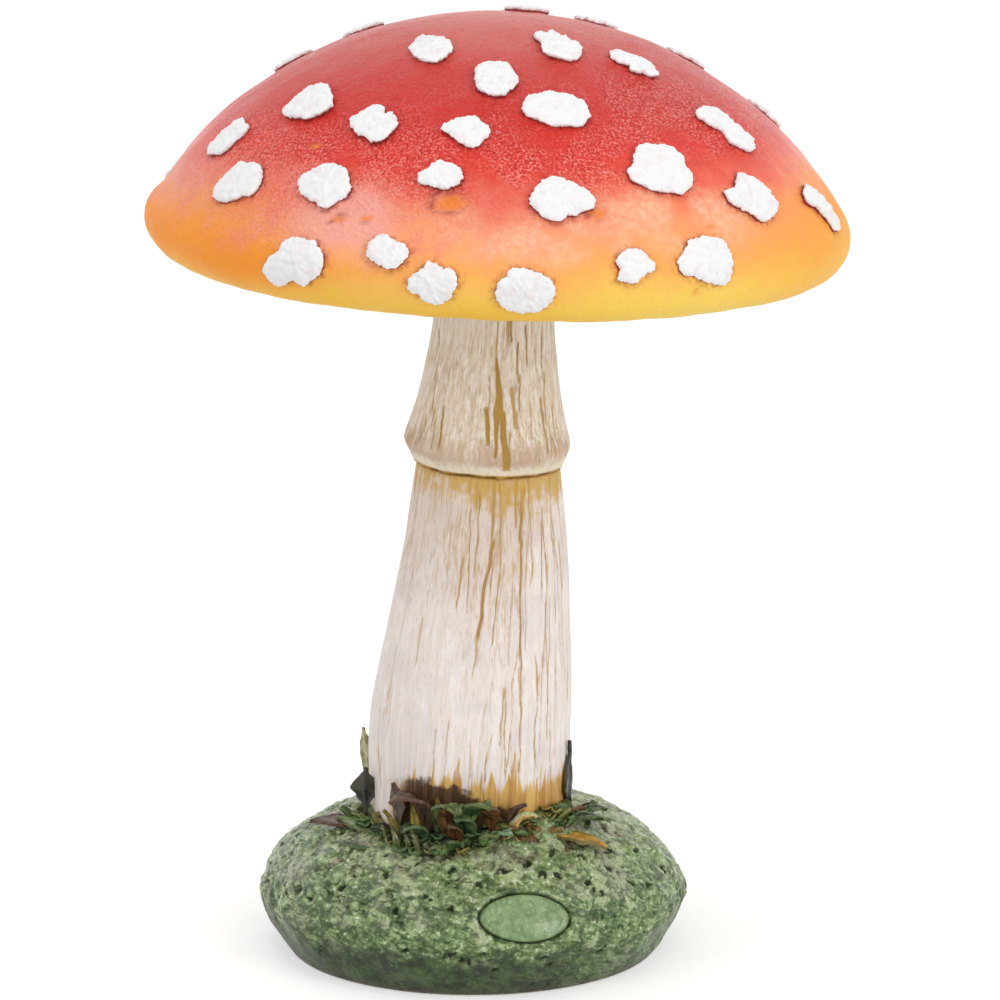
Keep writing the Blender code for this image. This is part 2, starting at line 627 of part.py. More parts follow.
def build_leaves(parts, cutters, stalk_axis):
    """Foliage that stands on the mound against the stem, trimmed to clear both."""
    profile = [(0.0, SHOULDER_HEIGHT)] + stem_outline(CLEARANCE)
    profile += [(FOOT_RADIUS + CLEARANCE, -SEAT_DEPTH), (0.0, -SEAT_DEPTH)]
    stem_room = as_guide(turned("stem_room", profile, STEM_STEPS, cutters, parent=stalk_axis))
    mound_room = as_guide(turned("mound_room", mound_profile(CLEARANCE), MOUND_STEPS, cutters))
    shape_mound(mound_room.data)
    colours = {"pale_blade": (0.62, 0.60, 0.30), "ribbed_cream_leaf": (0.60, 0.65, 0.32),
               "ochre_leaf": (0.55, 0.36, 0.06), "curled_brown_leaf": (0.12, 0.09, 0.06),
               "dark_rhomb": (0.04, 0.04, 0.03), "dark_blade": (0.05, 0.05, 0.03)}
    for name, (bearing, stand, turn, length, width, rise, curl, widest) in LEAVES.items():
        colour = colours.get(name, (0.08, 0.20, 0.06))
        mesh = leaf_mesh(name, length, width, rise, curl, widest)
        leaf = add_object(name, mesh, parts, paint(name + "_paint", colour, 0.35))
        away = max(stem_radius(SEAT_DEPTH), stem_radius(SEAT_DEPTH + length)) + stand
        x = AXIS_X + SEAT_DEPTH * math.tan(math.radians(LEAN)) + away * math.cos(math.radians(bearing))
        y = away * math.sin(math.radians(bearing))
        leaf.location = (x, y, mound_height(x, y) - LEAF_SINK)
        leaf.rotation_euler = (0.0, 0.0, math.radians(bearing - 90 + turn))
        solidify = leaf.modifiers.new("thickness", "SOLIDIFY")
        solidify.thickness = LEAF_THICKNESS
        solidify.offset = 0.0
        combine(leaf, stem_room, "DIFFERENCE")
        combine(leaf, mound_room, "DIFFERENCE")


def build():
    clear_scene()
    parts = new_collection("toadstool_ornament")
    cutters = new_collection("cutters")
    stalk_axis = axis_empty("stalk_axis", parts, (AXIS_X, 0.0, SEAT_HEIGHT), LEAN)
    cap_axis = axis_empty("cap_axis", parts, (0.0, 0.0, CAP_LIFT), CAP_TILT, stalk_axis)
    bpy.context.view_layer.update()
    build_mound(parts, cutters, stalk_axis)
    build_stem(parts, stalk_axis)
    build_sleeve(parts, stalk_axis)
    build_pin("foot_pin", 0.0, parts, stalk_axis)
    build_cap(parts, cap_axis)
    build_gill_plate(parts, cutters, cap_axis)
    build_pin("cap_pin", BOSS_HEIGHT - CLEARANCE / 2, parts, cap_axis)
    build_warts(parts, cutters, cap_axis)
    build_leaves(parts, cutters, stalk_axis)


build()
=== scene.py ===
# %% [markdown]
# # A painted toadstool ornament
# The real ornament is a garden figure of cast resin: a mossy mound, a stalk with a skirt, a hollow
# cap, chalky warts and a little foliage, all painted by hand and varnished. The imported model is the
# frame. It fixes every size and place, and this lesson puts a finer, painted skin on it.

import math
import random

import bpy
from mathutils import Matrix, Vector, noise


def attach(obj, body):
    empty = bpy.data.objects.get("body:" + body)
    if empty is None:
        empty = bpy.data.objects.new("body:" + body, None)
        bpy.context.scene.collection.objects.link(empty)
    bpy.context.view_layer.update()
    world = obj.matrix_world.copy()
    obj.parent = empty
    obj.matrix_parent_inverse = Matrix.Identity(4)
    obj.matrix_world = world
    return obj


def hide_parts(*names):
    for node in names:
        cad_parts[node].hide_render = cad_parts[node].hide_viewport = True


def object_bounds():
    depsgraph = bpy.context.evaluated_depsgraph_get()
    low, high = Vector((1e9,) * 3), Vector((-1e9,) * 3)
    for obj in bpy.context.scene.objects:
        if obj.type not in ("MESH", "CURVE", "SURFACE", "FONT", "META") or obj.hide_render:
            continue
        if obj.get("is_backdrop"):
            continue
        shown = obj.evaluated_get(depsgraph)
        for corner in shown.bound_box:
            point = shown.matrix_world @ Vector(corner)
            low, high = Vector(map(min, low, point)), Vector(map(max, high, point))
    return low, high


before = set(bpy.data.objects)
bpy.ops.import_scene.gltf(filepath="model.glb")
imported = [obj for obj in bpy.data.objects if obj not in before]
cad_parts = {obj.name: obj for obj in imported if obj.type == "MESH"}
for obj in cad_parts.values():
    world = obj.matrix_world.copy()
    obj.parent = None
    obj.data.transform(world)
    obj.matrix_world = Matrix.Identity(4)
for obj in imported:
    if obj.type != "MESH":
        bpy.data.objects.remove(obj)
cad_low, cad_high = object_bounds()
cad_sides = [round(1000 * side) for side in cad_high - cad_low]
print("frame of", len(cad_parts), "nodes,", cad_sides, "mm")

# %% [markdown]
# The camera comes first, because every later choice is judged through it. It stands well back and
# looks slightly down, so that the cap's underside stays hidden. A long lens from far away keeps
# the two sides of the cap even. The same picture could be had with a short lens nearer by, but the
# cap would then look too large over the mound.

# %% Camera
CAMERA_DISTANCE = 1.2
CAMERA_ELEVATION = math.radians(13.71)
CAMERA_TARGET = Vector((0.00695, 0.0, 0.1164))
CAMERA_LENS = 171.6

backwards = Vector((0.0, -math.cos(CAMERA_ELEVATION), math.sin(CAMERA_ELEVATION)))
camera = bpy.data.objects.new("camera", bpy.data.cameras.new("camera"))
camera.location = CAMERA_TARGET + CAMERA_DISTANCE * backwards
camera.rotation_mode = "QUATERNION"
camera.rotation_quaternion = (-backwards).to_track_quat("-Z", "Y")
camera.data.sensor_width = 36.0
camera.data.lens = CAMERA_LENS
camera.data.clip_start = 0.01
bpy.context.scene.collection.objects.link(camera)
bpy.context.scene.camera = camera
print("camera at", [round(value, 3) for value in camera.location])

# %% [markdown]
# Varnish only looks like varnish when it has something to reflect, so the light is a white room
# with three large softboxes: one overhead, a weak one on the left, and a stronger one on the right
# that brightens that side of the stalk and the cap. A single small lamp would be simpler, but it
# would burn out the white warts and leave hard shadows. The power is kept so low that a colour
# renders about as it is written.

# %% Lamps
# Each softbox: its place, its width, its depth and its power in watts.
SOFTBOXES = {
    "top_softbox": ((-0.10, -0.15, 1.15), 0.55, 0.45, 1.7),
    "left_softbox": ((-0.95, -0.75, 0.55), 0.50, 0.70, 1.2),
    "right_softbox": ((0.90, -0.85, 0.50), 0.45, 0.70, 3.5),
}


def softbox(name, location, width, depth, power):
    """A soft rectangular lamp that points at the middle of the ornament."""
    lamp = bpy.data.objects.new(name, bpy.data.lights.new(name, "AREA"))
    lamp.data.shape = "RECTANGLE"
    lamp.data.size = width
    lamp.data.size_y = depth
    lamp.data.energy = power
    lamp.location = location
    aim = CAMERA_TARGET - Vector(location)
    lamp.rotation_mode = "QUATERNION"
    lamp.rotation_quaternion = aim.to_track_quat("-Z", "Y")
    bpy.context.scene.collection.objects.link(lamp)


for name, settings in SOFTBOXES.items():
    softbox(name, *settings)
bpy.context.scene.view_settings.view_transform = "Standard"
print("lamps:", ", ".join(SOFTBOXES))

# %% [markdown]
# Paint in Blender is a network of nodes. A sum of two noises is a Math node with two wires, and
# drawing every such node by hand would work, but it is slow to make and to read. So a small class
# wraps a socket and lets Python's own signs build the Math nodes.

# %% Wires
class Wire:
    """A value on its way through a finish, which can be used like a number."""

    def __init__(self, finish, socket):
        self.finish = finish
        self.socket = socket

    def maths(self, operation, first, second):
        """A Math node with the operation; either side may be a wire or a number."""
        return self.finish.node("ShaderNodeMath", {"operation": operation}, {0: first, 1: second})

    def __add__(self, other):
        return self.maths("ADD", self, other)

    def __sub__(self, other):
        return self.maths("SUBTRACT", self, other)

    def __rsub__(self, other):
        return self.maths("SUBTRACT", other, self)

    def __mul__(self, other):
        return self.maths("MULTIPLY", self, other)

    def __truediv__(self, other):
        return self.maths("DIVIDE", self, other)

    def __pow__(self, other):
        return self.maths("POWER", self, other)

    __radd__ = __add__
    __rmul__ = __mul__


# %% [markdown]
# A second class holds one finish: a Principled shader, and a method for each node that the paints
# need often. The same networks could be drawn in the shader editor, but as code a whole paint can
# be read from top to bottom. Colours are written as they look on a screen, from 0 to 255, and one
# function turns them into the linear light that a shader counts in.

# %% Finishes
class Finish:
    """A material with a Principled shader; constants go on the shader's own sockets."""

    def __init__(self, name, constants):
        self.material = bpy.data.materials.new(name)
        self.material.use_nodes = True
        self.tree = self.material.node_tree
        self.shader = self.tree.nodes["Principled BSDF"]
        self.surface = self.tree.nodes["Material Output"].inputs["Surface"]
        for socket, value in constants.items():
            self.shader.inputs[socket].default_value = value

    def node(self, kind, settings, inputs, output=0):
        """Add a node, set it up, feed its sockets and return one of its outputs."""
        made = self.tree.nodes.new(kind)
        for key, value in settings.items():
            if key == "stops":
                self.set_stops(made.color_ramp, value)
            else:
                setattr(made, key, value)
        for key, value in inputs.items():
            if isinstance(value, Wire):
                self.tree.links.new(value.socket, made.inputs[key])
            else:
                made.inputs[key].default_value = value
        return Wire(self, made.outputs[output])

    def set_stops(self, ramp, stops):
        """Give a ramp its stops, each a position and a colour."""
        while len(ramp.elements) < len(stops):
            ramp.elements.new(0.5)
        for element, (position, colour) in zip(ramp.elements, stops):
            element.position = position
            element.color = colour

    def feed(self, socket, wire):
        """Lead a wire into a socket of the shader."""
        self.tree.links.new(wire.socket, self.shader.inputs[socket])

    def place(self, location=(0, 0, 0), tilt=0.0, scale=(1, 1, 1)):
        """The piece's own coordinates, moved and turned into the frame of a casting."""
        own = self.node("ShaderNodeTexCoord", {}, {}, "Object")
        return self.node("ShaderNodeMapping", {"vector_type": "TEXTURE"},
                         {"Vector": own, "Location": location, "Rotation": (0, tilt, 0), "Scale": scale})

    def grain(self, where, size, detail=2.0, roughness=0.5, warp=0.0):
        """Soft noise whose lumps are about the given size in metres."""
        return self.node("ShaderNodeTexNoise", {}, {
            "Vector": where, "Scale": 1 / size, "Detail": detail, "Roughness": roughness,
            "Distortion": warp})

    def cells(self, where, size, feature="F1"):
        """A cell pattern; its value grows from the middle of each cell."""
        return self.node("ShaderNodeTexVoronoi", {"feature": feature},
                         {"Vector": where, "Scale": 1 / size}, "Distance")

    def rise(self, value, low, high):
        """0 below the low value, 1 above the high one, with a soft step between them."""
        return self.node("ShaderNodeMapRange", {"interpolation_type": "SMOOTHSTEP"},
                         {"Value": value, "From Min": low, "From Max": high})

    def blend(self, share, first, second):
        """Mix two colours; at a share of 1 only the second is left."""
        return self.node("ShaderNodeMix", {"data_type": "RGBA"}, {0: share, 6: first, 7: second}, 2)

    def attribute(self, name):
        """A value that was kept on the points of the mesh."""
        return self.node("ShaderNodeAttribute", {"attribute_name": name}, {}, "Fac")

    def height(self, where, output="Z"):
        """The height of a place, or its X or Y when that is asked for."""
        return self.node("ShaderNodeSeparateXYZ", {}, {"Vector": where}, output)

    def relief(self, height, depth):
        """Let a height between 0 and 1 disturb the surface by up to the given depth."""
        self.feed("Normal", self.node("ShaderNodeBump", {}, {
            "Height": height, "Distance": depth, "Strength": 1.0}, "Normal"))


def colour(red, green, blue):
    """A screen colour from 0 to 255 as the linear colour that a shader wants."""
    def linear(value):
        value = value / 255
        return value / 12.92 if value <= 0.04045 else ((value + 0.055) / 1.055) ** 2.4
    return (linear(red), linear(green), linear(blue), 1.0)


print("brick red in linear light:", [round(value, 3) for value in colour(205, 60, 55)])

# %% [markdown]
# The room is a white world and a pale floor. The world is full white to the camera and in
# reflections, but it lights with less, so that the paints don't wash out. The floor is an ordinary
# matt surface that catches the ornament's soft shadow; for the camera and for reflections it also
# glows a little, so that it meets the white behind it without more light falling on the ornament.
# From below it is clear, so that the underside of the mound can be looked at too.

# %% Room
WORLD_LIGHT = 0.76
FLOOR_GLOW = 0.44

world = bpy.data.worlds.new("white_room")
bpy.context.scene.world = world
world.use_nodes = True
world_nodes = world.node_tree.nodes
background = world_nodes["Background"]
background.inputs["Color"].default_value = (1.0, 1.0, 1.0, 1.0)
seen = world_nodes.new("ShaderNodeLightPath")
direct = world_nodes.new("ShaderNodeMath")
direct.operation = "MAXIMUM"
either = world_nodes.new("ShaderNodeMath")
either.operation = "MAXIMUM"
strength = world_nodes.new("ShaderNodeMapRange")
strength.inputs["To Min"].default_value = WORLD_LIGHT
world.node_tree.links.new(seen.outputs["Is Camera Ray"], direct.inputs[0])
world.node_tree.links.new(seen.outputs["Is Glossy Ray"], direct.inputs[1])
world.node_tree.links.new(direct.outputs[0], either.inputs[0])
world.node_tree.links.new(seen.outputs["Is Transmission Ray"], either.inputs[1])
world.node_tree.links.new(either.outputs[0], strength.inputs["Value"])
world.node_tree.links.new(strength.outputs["Result"], background.inputs["Strength"])

paper = Finish("floor_paper", {})
bare = paper.node("ShaderNodeBsdfDiffuse", {}, {"Color": (0.80, 0.80, 0.80, 1.0)})
camera_ray = paper.node("ShaderNodeLightPath", {}, {}, "Is Camera Ray")
glossy_ray = paper.node("ShaderNodeLightPath", {}, {}, "Is Glossy Ray")
glow = paper.node("ShaderNodeEmission", {}, {"Strength": (camera_ray + glossy_ray) * FLOOR_GLOW})
lit = paper.node("ShaderNodeAddShader", {}, {0: bare, 1: glow})
clear = paper.node("ShaderNodeBsdfTransparent", {}, {})
from_below = paper.node("ShaderNodeNewGeometry", {}, {}, "Backfacing")
paper.tree.links.new(paper.node("ShaderNodeMixShader", {}, {0: from_below, 1: lit, 2: clear}).socket,
                     paper.surface)

bpy.ops.object.select_all(action="DESELECT")
bpy.ops.mesh.primitive_plane_add(size=14.0, location=(0.0, 0.0, -0.0003))
floor = bpy.context.object
floor.name = "floor"
floor.data.materials.append(paper.material)
floor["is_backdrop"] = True
print("floor", round(floor.dimensions.x), "m wide")

# %% [markdown]
# Every large casting here is round, so each starts as a profile: one point is extruded from place
# to place along half of the outline, and Spin sweeps the line round the axis. Spin slows down with
# every step, so it sweeps an eighth of the turn, and a second Spin repeats that slice seven times.
# Screw would do the same as a modifier, but Spin leaves a finished mesh at once. The doubled points
# on the axis and on the seams are then merged, so that the skin is closed.

# %% Spin a profile
SLICES = 8


def spun(name, profile, steps):
    """A closed solid of revolution from (radius, height) points; the steps make whole slices."""
    bpy.ops.object.select_all(action="DESELECT")
    bpy.ops.mesh.primitive_plane_add(size=0.001)
    piece = bpy.context.object
    piece.name = name
    bpy.ops.object.mode_set(mode="EDIT")
    bpy.ops.mesh.select_all(action="SELECT")
    bpy.ops.mesh.merge(type="CENTER")
    bpy.ops.transform.translate(value=(profile[0][0], 0.0, profile[0][1]))
    for (radius, height), (next_radius, next_height) in zip(profile, profile[1:]):
        move = (next_radius - radius, 0.0, next_height - height)
        bpy.ops.mesh.extrude_region_move(TRANSFORM_OT_translate={"value": move})
    bpy.ops.mesh.select_all(action="SELECT")
    slice_angle = 2 * math.pi / SLICES
    bpy.ops.mesh.spin(steps=steps // SLICES, angle=slice_angle, center=(0, 0, 0), axis=(0, 0, 1))
    bpy.ops.mesh.select_all(action="SELECT")
    bpy.ops.mesh.spin(steps=SLICES - 1, dupli=True, angle=2 * math.pi - slice_angle,
                      center=(0, 0, 0), axis=(0, 0, 1))
    bpy.ops.mesh.select_all(action="SELECT")
    bpy.ops.mesh.remove_doubles(threshold=0.000002)
    bpy.ops.mesh.normals_make_consistent(inside=False)
    bpy.ops.object.mode_set(mode="OBJECT")
    bpy.ops.object.shade_smooth()
    return piece


def arc(centre, radius, start, end, steps):
    """Points of an arc in the profile, angles in radians from straight up."""
    points = []
    for step in range(steps + 1):
        angle = start + (end - start) * step / steps
        points.append((centre[0] + radius * math.sin(angle), centre[1] + radius * math.cos(angle)))
    return points


def filled(profile, spacing):
    """The same outline with extra points, none further apart than the spacing."""
    points = [profile[0]]
    for start, end in zip(profile, profile[1:]):
        parts = max(1, math.ceil(math.dist(start, end) / spacing))
        for part in range(1, parts + 1):
            points.append(tuple(a + (b - a) * part / parts for a, b in zip(start, end)))
    return points


# %% [markdown]
# Two steps come back for every piece. It is settled: moved to its place, with the move left in the
# mesh, so that the paints can count on its coordinates. Then it is handed over: it gets its finish
# and its slot, rides on the frame, and stands for the plain solids that it replaces. Both could be
# typed out each time, but then a piece would sooner or later be forgotten.

# %% Settle and hand over a piece
def settle(piece, place):
    """Put a piece in its place in the frame, and leave the place in the mesh."""
    bpy.ops.object.select_all(action="DESELECT")
    piece.select_set(True)
    bpy.context.view_layer.objects.active = piece
    piece.matrix_world = place
    bpy.ops.object.transform_apply(location=True, rotation=True, scale=True)


def hand_over(piece, finish, nodes):
    """Give a finished piece its finish and its slot, and let it stand for its nodes."""
    piece.data.materials.clear()
    piece.data.materials.append(finish.material)
    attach(piece, "root")
    if nodes:
        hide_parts(*nodes)
    print(piece.name, len(piece.data.polygons), "faces")


# %% [markdown]
# The stalk of the real ornament leans a little to the right, and the cap on top of it leans less.
# Each lean is written down once, as a place for the mesh and as the frame that its paint is drawn
# in, so that a painted band stays square to its casting. Painting in the room's own directions
# would be simpler, but every band would then cross the stalk askew.

# %% Where the stalk and the cap stand
STALK_FOOT = (-0.00095, 0.0, 0.0298)
STALK_TILT = math.radians(2.75)
CAP_TILT = math.radians(2.1)
CAP_OVER_FOOT = 0.158

stalk_place = Matrix.Translation(STALK_FOOT) @ Matrix.Rotation(STALK_TILT, 4, "Y")
cap_place = (stalk_place @ Matrix.Translation((0.0, 0.0, CAP_OVER_FOOT))
             @ Matrix.Rotation(CAP_TILT - STALK_TILT, 4, "Y"))
stalk_frame = (tuple(stalk_place.translation), STALK_TILT)
cap_frame = (tuple(cap_place.translation), CAP_TILT)
print("centre of the cap:", [round(1000 * value, 1) for value in cap_place.translation], "mm")

# %% [markdown]
# The cap's outer side is a dome that runs into a rolled rim. A place on it is told by its bearing
# round the cap and its reach from the crown, measured along the skin. Plain x and y would do on
# top of the dome, but on the rim two places can have the same ones. The same two numbers place the
# warts later, so one function turns them into a point.

# %% The skin of the cap
CAP_RADIUS = 0.0872
DOME_HEIGHT = 0.0515
RIM_RADIUS = 0.0092
RIM_END = math.radians(226.0)
DOME_RADIUS = (((CAP_RADIUS - RIM_RADIUS) ** 2 + DOME_HEIGHT ** 2 - RIM_RADIUS ** 2)
               / (2 * (DOME_HEIGHT - RIM_RADIUS)))
DOME_CENTRE = DOME_HEIGHT - DOME_RADIUS
DOME_ANGLE = math.asin((CAP_RADIUS - RIM_RADIUS) / (DOME_RADIUS - RIM_RADIUS))
DOME_REACH = DOME_RADIUS * DOME_ANGLE


def skin_point(bearing, reach, lift):
    """A point at a distance over the skin, in the cap's own frame."""
    if reach <= DOME_REACH:
        centre, height, radius, angle = 0.0, DOME_CENTRE, DOME_RADIUS, reach / DOME_RADIUS
    else:
        centre, height, radius = CAP_RADIUS - RIM_RADIUS, 0.0, RIM_RADIUS
        angle = DOME_ANGLE + (reach - DOME_REACH) / RIM_RADIUS
    out = centre + (radius + lift) * math.sin(angle)
    return Vector((out * math.cos(bearing), out * math.sin(bearing),
                   height + (radius + lift) * math.cos(angle)))


def skin_reach(point):
    """The reach of a point that lies on the skin, or None for one inside the cap."""
    radius = math.hypot(point.x, point.y)
    angle = math.atan2(radius, point.z - DOME_CENTRE)
    if angle <= DOME_ANGLE + 1e-4 and point.z > 0:
        on_skin = abs(math.hypot(radius, point.z - DOME_CENTRE) - DOME_RADIUS) < 1e-5
        return DOME_RADIUS * angle if on_skin else None
    across = radius - (CAP_RADIUS - RIM_RADIUS)
    if abs(math.hypot(across, point.z) - RIM_RADIUS) > 1e-5:
        return None
    angle = math.atan2(across, point.z) % (2 * math.pi)
    return DOME_REACH + RIM_RADIUS * (angle - DOME_ANGLE)


print("from crown to rim:", round(1000 * DOME_REACH, 1), "mm")

# %% [markdown]
# The warts decide where the cap's skin is torn, so their outlines are listed before the cap is
# shaped. On the real ornament each is a flat, ragged chip. A round blob would look wrong from a
# step away, so each wart in front has its own outline: its radius in twenty directions, like
# minutes on a dial that starts at the right. Those round the back are drawn by chance.

# %% Outlines of the warts
# Bearing in degrees, reach from the crown in millimetres, radii in tenths of a millimetre.
FRONT_WARTS = (
    (-64.2, 29.3, (55, 56, 59, 68, 92, 74, 87, 78, 48, 41, 43, 49, 57, 62, 68, 76, 68, 56, 55, 56)),
    (-122.5, 34.0, (58, 54, 52, 53, 56, 60, 64, 69, 97, 70, 58, 53, 44, 45, 49, 56, 64, 75, 67, 58)),
    (-38.5, 40.3, (46, 43, 41, 39, 49, 64, 62, 63, 59, 47, 33, 26, 48, 49, 44, 62, 65, 56, 54, 49)),
    (-93.2, 45.0, (53, 52, 54, 65, 71, 69, 69, 70, 67, 52, 47, 47, 51, 58, 61, 69, 70, 59, 57, 55)),
    (-77.0, 56.5, (78, 80, 67, 65, 61, 61, 63, 64, 76, 78, 83, 73, 63, 56, 59, 59, 63, 74, 75, 80)),
    (-142.0, 62.0, (82, 67, 59, 55, 55, 64, 68, 71, 75, 67, 65, 61, 74, 72, 63, 56, 55, 66, 68, 72)),
    (-98.0, 64.8, (54, 50, 43, 42, 49, 49, 46, 46, 48, 60, 62, 45, 38, 37, 42, 46, 53, 54, 47, 50)),
    (-120.0, 65.0, (62, 56, 51, 51, 34, 54, 64, 58, 55, 61, 67, 59, 48, 50, 47, 44, 63, 67, 63, 59)),
    (-31.8, 66.8, (48, 56, 60, 66, 68, 72, 74, 82, 86, 58, 38, 32, 35, 59, 63, 81, 87, 88, 74, 57)),
    (-58.0, 76.5, (70, 85, 87, 84, 70, 76, 76, 73, 72, 67, 90, 90, 75, 73, 67, 66, 80, 80, 81, 83)),
    (-101.5, 78.8, (51, 49, 45, 39, 40, 41, 46, 42, 38, 41, 50, 55, 49, 37, 35, 36, 38, 44, 45, 49)),
    (-157.3, 78.8, (48, 56, 70, 65, 53, 57, 65, 62, 54, 49, 49, 52, 63, 65, 63, 57, 54, 58, 55, 49)),
    (-79.8, 84.0, (86, 68, 61, 57, 56, 61, 60, 57, 59, 62, 70, 68, 63, 63, 63, 57, 47, 57, 58, 83)),
    (-122.8, 84.8, (69, 59, 58, 60, 58, 61, 64, 61, 62, 72, 80, 69, 63, 51, 52, 51, 67, 65, 63, 69)),
    (-39.8, 87.3, (76, 75, 69, 63, 70, 69, 58, 52, 53, 91, 84, 65, 54, 53, 61, 65, 64, 67, 78, 82)),
    (-142.5, 88.8, (76, 72, 69, 67, 62, 57, 53, 67, 68, 61, 68, 77, 79, 72, 59, 56, 51, 52, 52, 74)),
    (-19.0, 94.0, (49, 49, 41, 38, 47, 59, 60, 63, 69, 70, 30, 28, 33, 30, 35, 71, 79, 79, 64, 58)),
    (-107.8, 100.0, (53, 47, 40, 30, 32, 36, 45, 47, 46, 50, 46, 47, 40, 33, 36, 36, 41, 45, 47, 50)),
    (-68.8, 101.3, (51, 43, 42, 41, 39, 39, 39, 39, 40, 45, 39, 36, 54, 48, 44, 41, 32, 32, 36, 51)),
    (-55.8, 101.5, (72, 75, 79, 68, 62, 56, 61, 61, 59, 66, 84, 78, 55, 49, 48, 51, 58, 69, 72, 71)),
    (-123.0, 105.0, (77, 79, 67, 68, 55, 55, 58, 56, 57, 52, 70, 92, 91, 75, 48, 39, 50, 58, 60, 72)),
    (-100.0, 106.3, (55, 59, 54, 41, 39, 46, 48, 42, 41, 49, 58, 56, 42, 45, 46, 44, 47, 48, 51, 51)),
    (-86.2, 107.0, (71, 68, 57, 50, 46, 46, 51, 56, 53, 60, 66, 66, 59, 54, 50, 54, 51, 56, 64, 69)),
)
# The same, with one middling radius.
BACK_WARTS = (
    (75, 21, 55), (47, 33, 50), (26, 52, 57), (16, 74, 57), (158, 60, 55), (147, 43, 55),
    (72, 66, 66), (112, 66, 66), (48, 86, 66), (83, 86, 66), (118, 86, 66), (153, 86, 66),
    (20, 104, 66), (48, 104, 66), (76, 104, 66), (104, 104, 66), (132, 104, 66), (160, 104, 66),
)
DIRECTIONS = 20
BACK_GROWTH = 1.08

wart_rng = random.Random(5)
warts = []
for bearing, reach, tenths in FRONT_WARTS:
    warts.append((math.radians(bearing), reach / 1000, [value / 10000 for value in tenths]))
for bearing, reach, tenths in BACK_WARTS:
    stretch = wart_rng.uniform(0.7, 0.95)
    turn = wart_rng.uniform(0, math.pi)
    radii = []
    for step in range(DIRECTIONS):
        angle = 2 * math.pi * step / DIRECTIONS - turn
        oval = 1 / math.hypot(math.cos(angle), math.sin(angle) / stretch)
        radii.append(tenths / 10000 * oval * wart_rng.uniform(0.88, 1.12) * BACK_GROWTH)
    warts.append((math.radians(bearing), reach / 1000, radii))


def wart_radius(radii, angle):
    """Radius of an outline in any direction, between the two nearest listed ones."""
    step = angle / (2 * math.pi) * DIRECTIONS % DIRECTIONS
    low = int(step)
    return radii[low] + (radii[(low + 1) % DIRECTIONS] - radii[low]) * (step - low)


print(len(warts), "warts, the widest", round(2000 * max(max(radii) for _, _, radii in warts)), "mm")

# %% [markdown]
# The real cap isn't a perfect dome. It has low lumps from the clay that it was modelled in, a lip
# pushed in on the left, torn flesh round the warts, and a few shallow craters where a wart was
# pulled away. A Displace modifier with a cloud texture could give the lumps but not the rest, so
# each point of the spun skin is moved along its normal by a sum of these forms.

# %% Lumps, tears and craters of the cap
# Bearing in degrees, reach, radius and depth in millimetres.
CRATERS = (
    (-99, 85.5, 4.6, 0.75), (-118, 93.0, 2.0, 0.45), (-73, 87.5, 2.6, 0.5), (-52, 93.0, 1.2, 0.25),
    (-113, 92.0, 1.4, 0.3), (-58, 108.5, 1.0, 0.20), (-131, 74.0, 1.5, 0.25), (150, 95.0, 2.4, 0.5),
)
TEAR_WIDTH = 0.0018
WIDEST_WART = 0.012


def turn_between(first, second):
    """The turn from the second bearing to the first, between half a turn back and half on."""
    return (first - second + math.pi) % (2 * math.pi) - math.pi


def torn_edge(bearing, reach):
    """1 right beside a wart, fading out a little way off."""
    best = 0.0
    for wart_bearing, wart_reach, radii in warts:
        down = reach - wart_reach
        if abs(down) > WIDEST_WART:
            continue
        ring = math.hypot(*skin_point(wart_bearing, wart_reach, 0.0).xy)
        across = turn_between(bearing, wart_bearing) * ring
        if abs(across) > WIDEST_WART:
            continue
        gap = math.hypot(across, down) - wart_radius(radii, math.atan2(-down, across))
        best = max(best, 1 - abs(gap) / TEAR_WIDTH)
    return best


def cap_lift(bearing, reach, point):
    """How far the skin stands out of the perfect dome, and how torn it is there."""
    lift = 0.00045 * noise.noise(point / 0.021) + 0.00018 * noise.noise(point / 0.0065)
    lift += 0.00005 * noise.noise(point / 0.0021)
    left = math.exp(-(turn_between(bearing, math.pi) / 0.42) ** 2)
    lift -= 0.0011 * left * math.exp(-((reach - 0.0965) / 0.0055) ** 2)
    lift += 0.0006 * left * math.exp(-((reach - 0.1075) / 0.0050) ** 2)
    torn = torn_edge(bearing, reach)
    lift += torn * 0.00055 * max(0.0, noise.noise(point / 0.0017) + 0.15)
    orange = scar = 0.0
    for crater_bearing, crater_reach, size, depth in CRATERS:
        across = turn_between(bearing, math.radians(crater_bearing)) * math.hypot(point.x, point.y)
        spread = math.hypot(across, 1.7 * (reach - crater_reach / 1000)) / (size / 1000)
        if spread < 1.6:
            spread += 0.25 * noise.noise(point / 0.0016)
            lift -= depth / 1000 * max(0.0, 1 - spread ** 2)
            lift += 0.35 * depth / 1000 * math.exp(-((spread - 1.15) / 0.16) ** 2)
            orange = max(orange, 1 - spread)
            ring = math.exp(-((spread - 1.1) / 0.13) ** 2)
            scar = max(scar, ring * max(0.0, 0.7 - 1.2 * across * 100))
    return lift, torn, max(0.0, min(1.0, 2 * orange)), min(1.0, scar)


# %% [markdown]
# The cap is cast hollow. Its profile runs from the crown over the dome and round the rolled rim,
# then back inside past a ledge for the gill plate and a boss for the dowel. It is spun first and
# shaped afterwards, because a spun skin has its points in even rings, and only the points of the
# outer skin are moved. How torn, hollow or scarred the skin is at a point is kept on the mesh, so
# that the paint can follow the shape.

# %% Spin and shape the cap
LEDGE_WIDTH = 0.0035
LEDGE_HEIGHT = -0.0012
CAP_WALL = 0.006
BOSS_RADIUS = 0.015
BOSS_HEIGHT = 0.0143

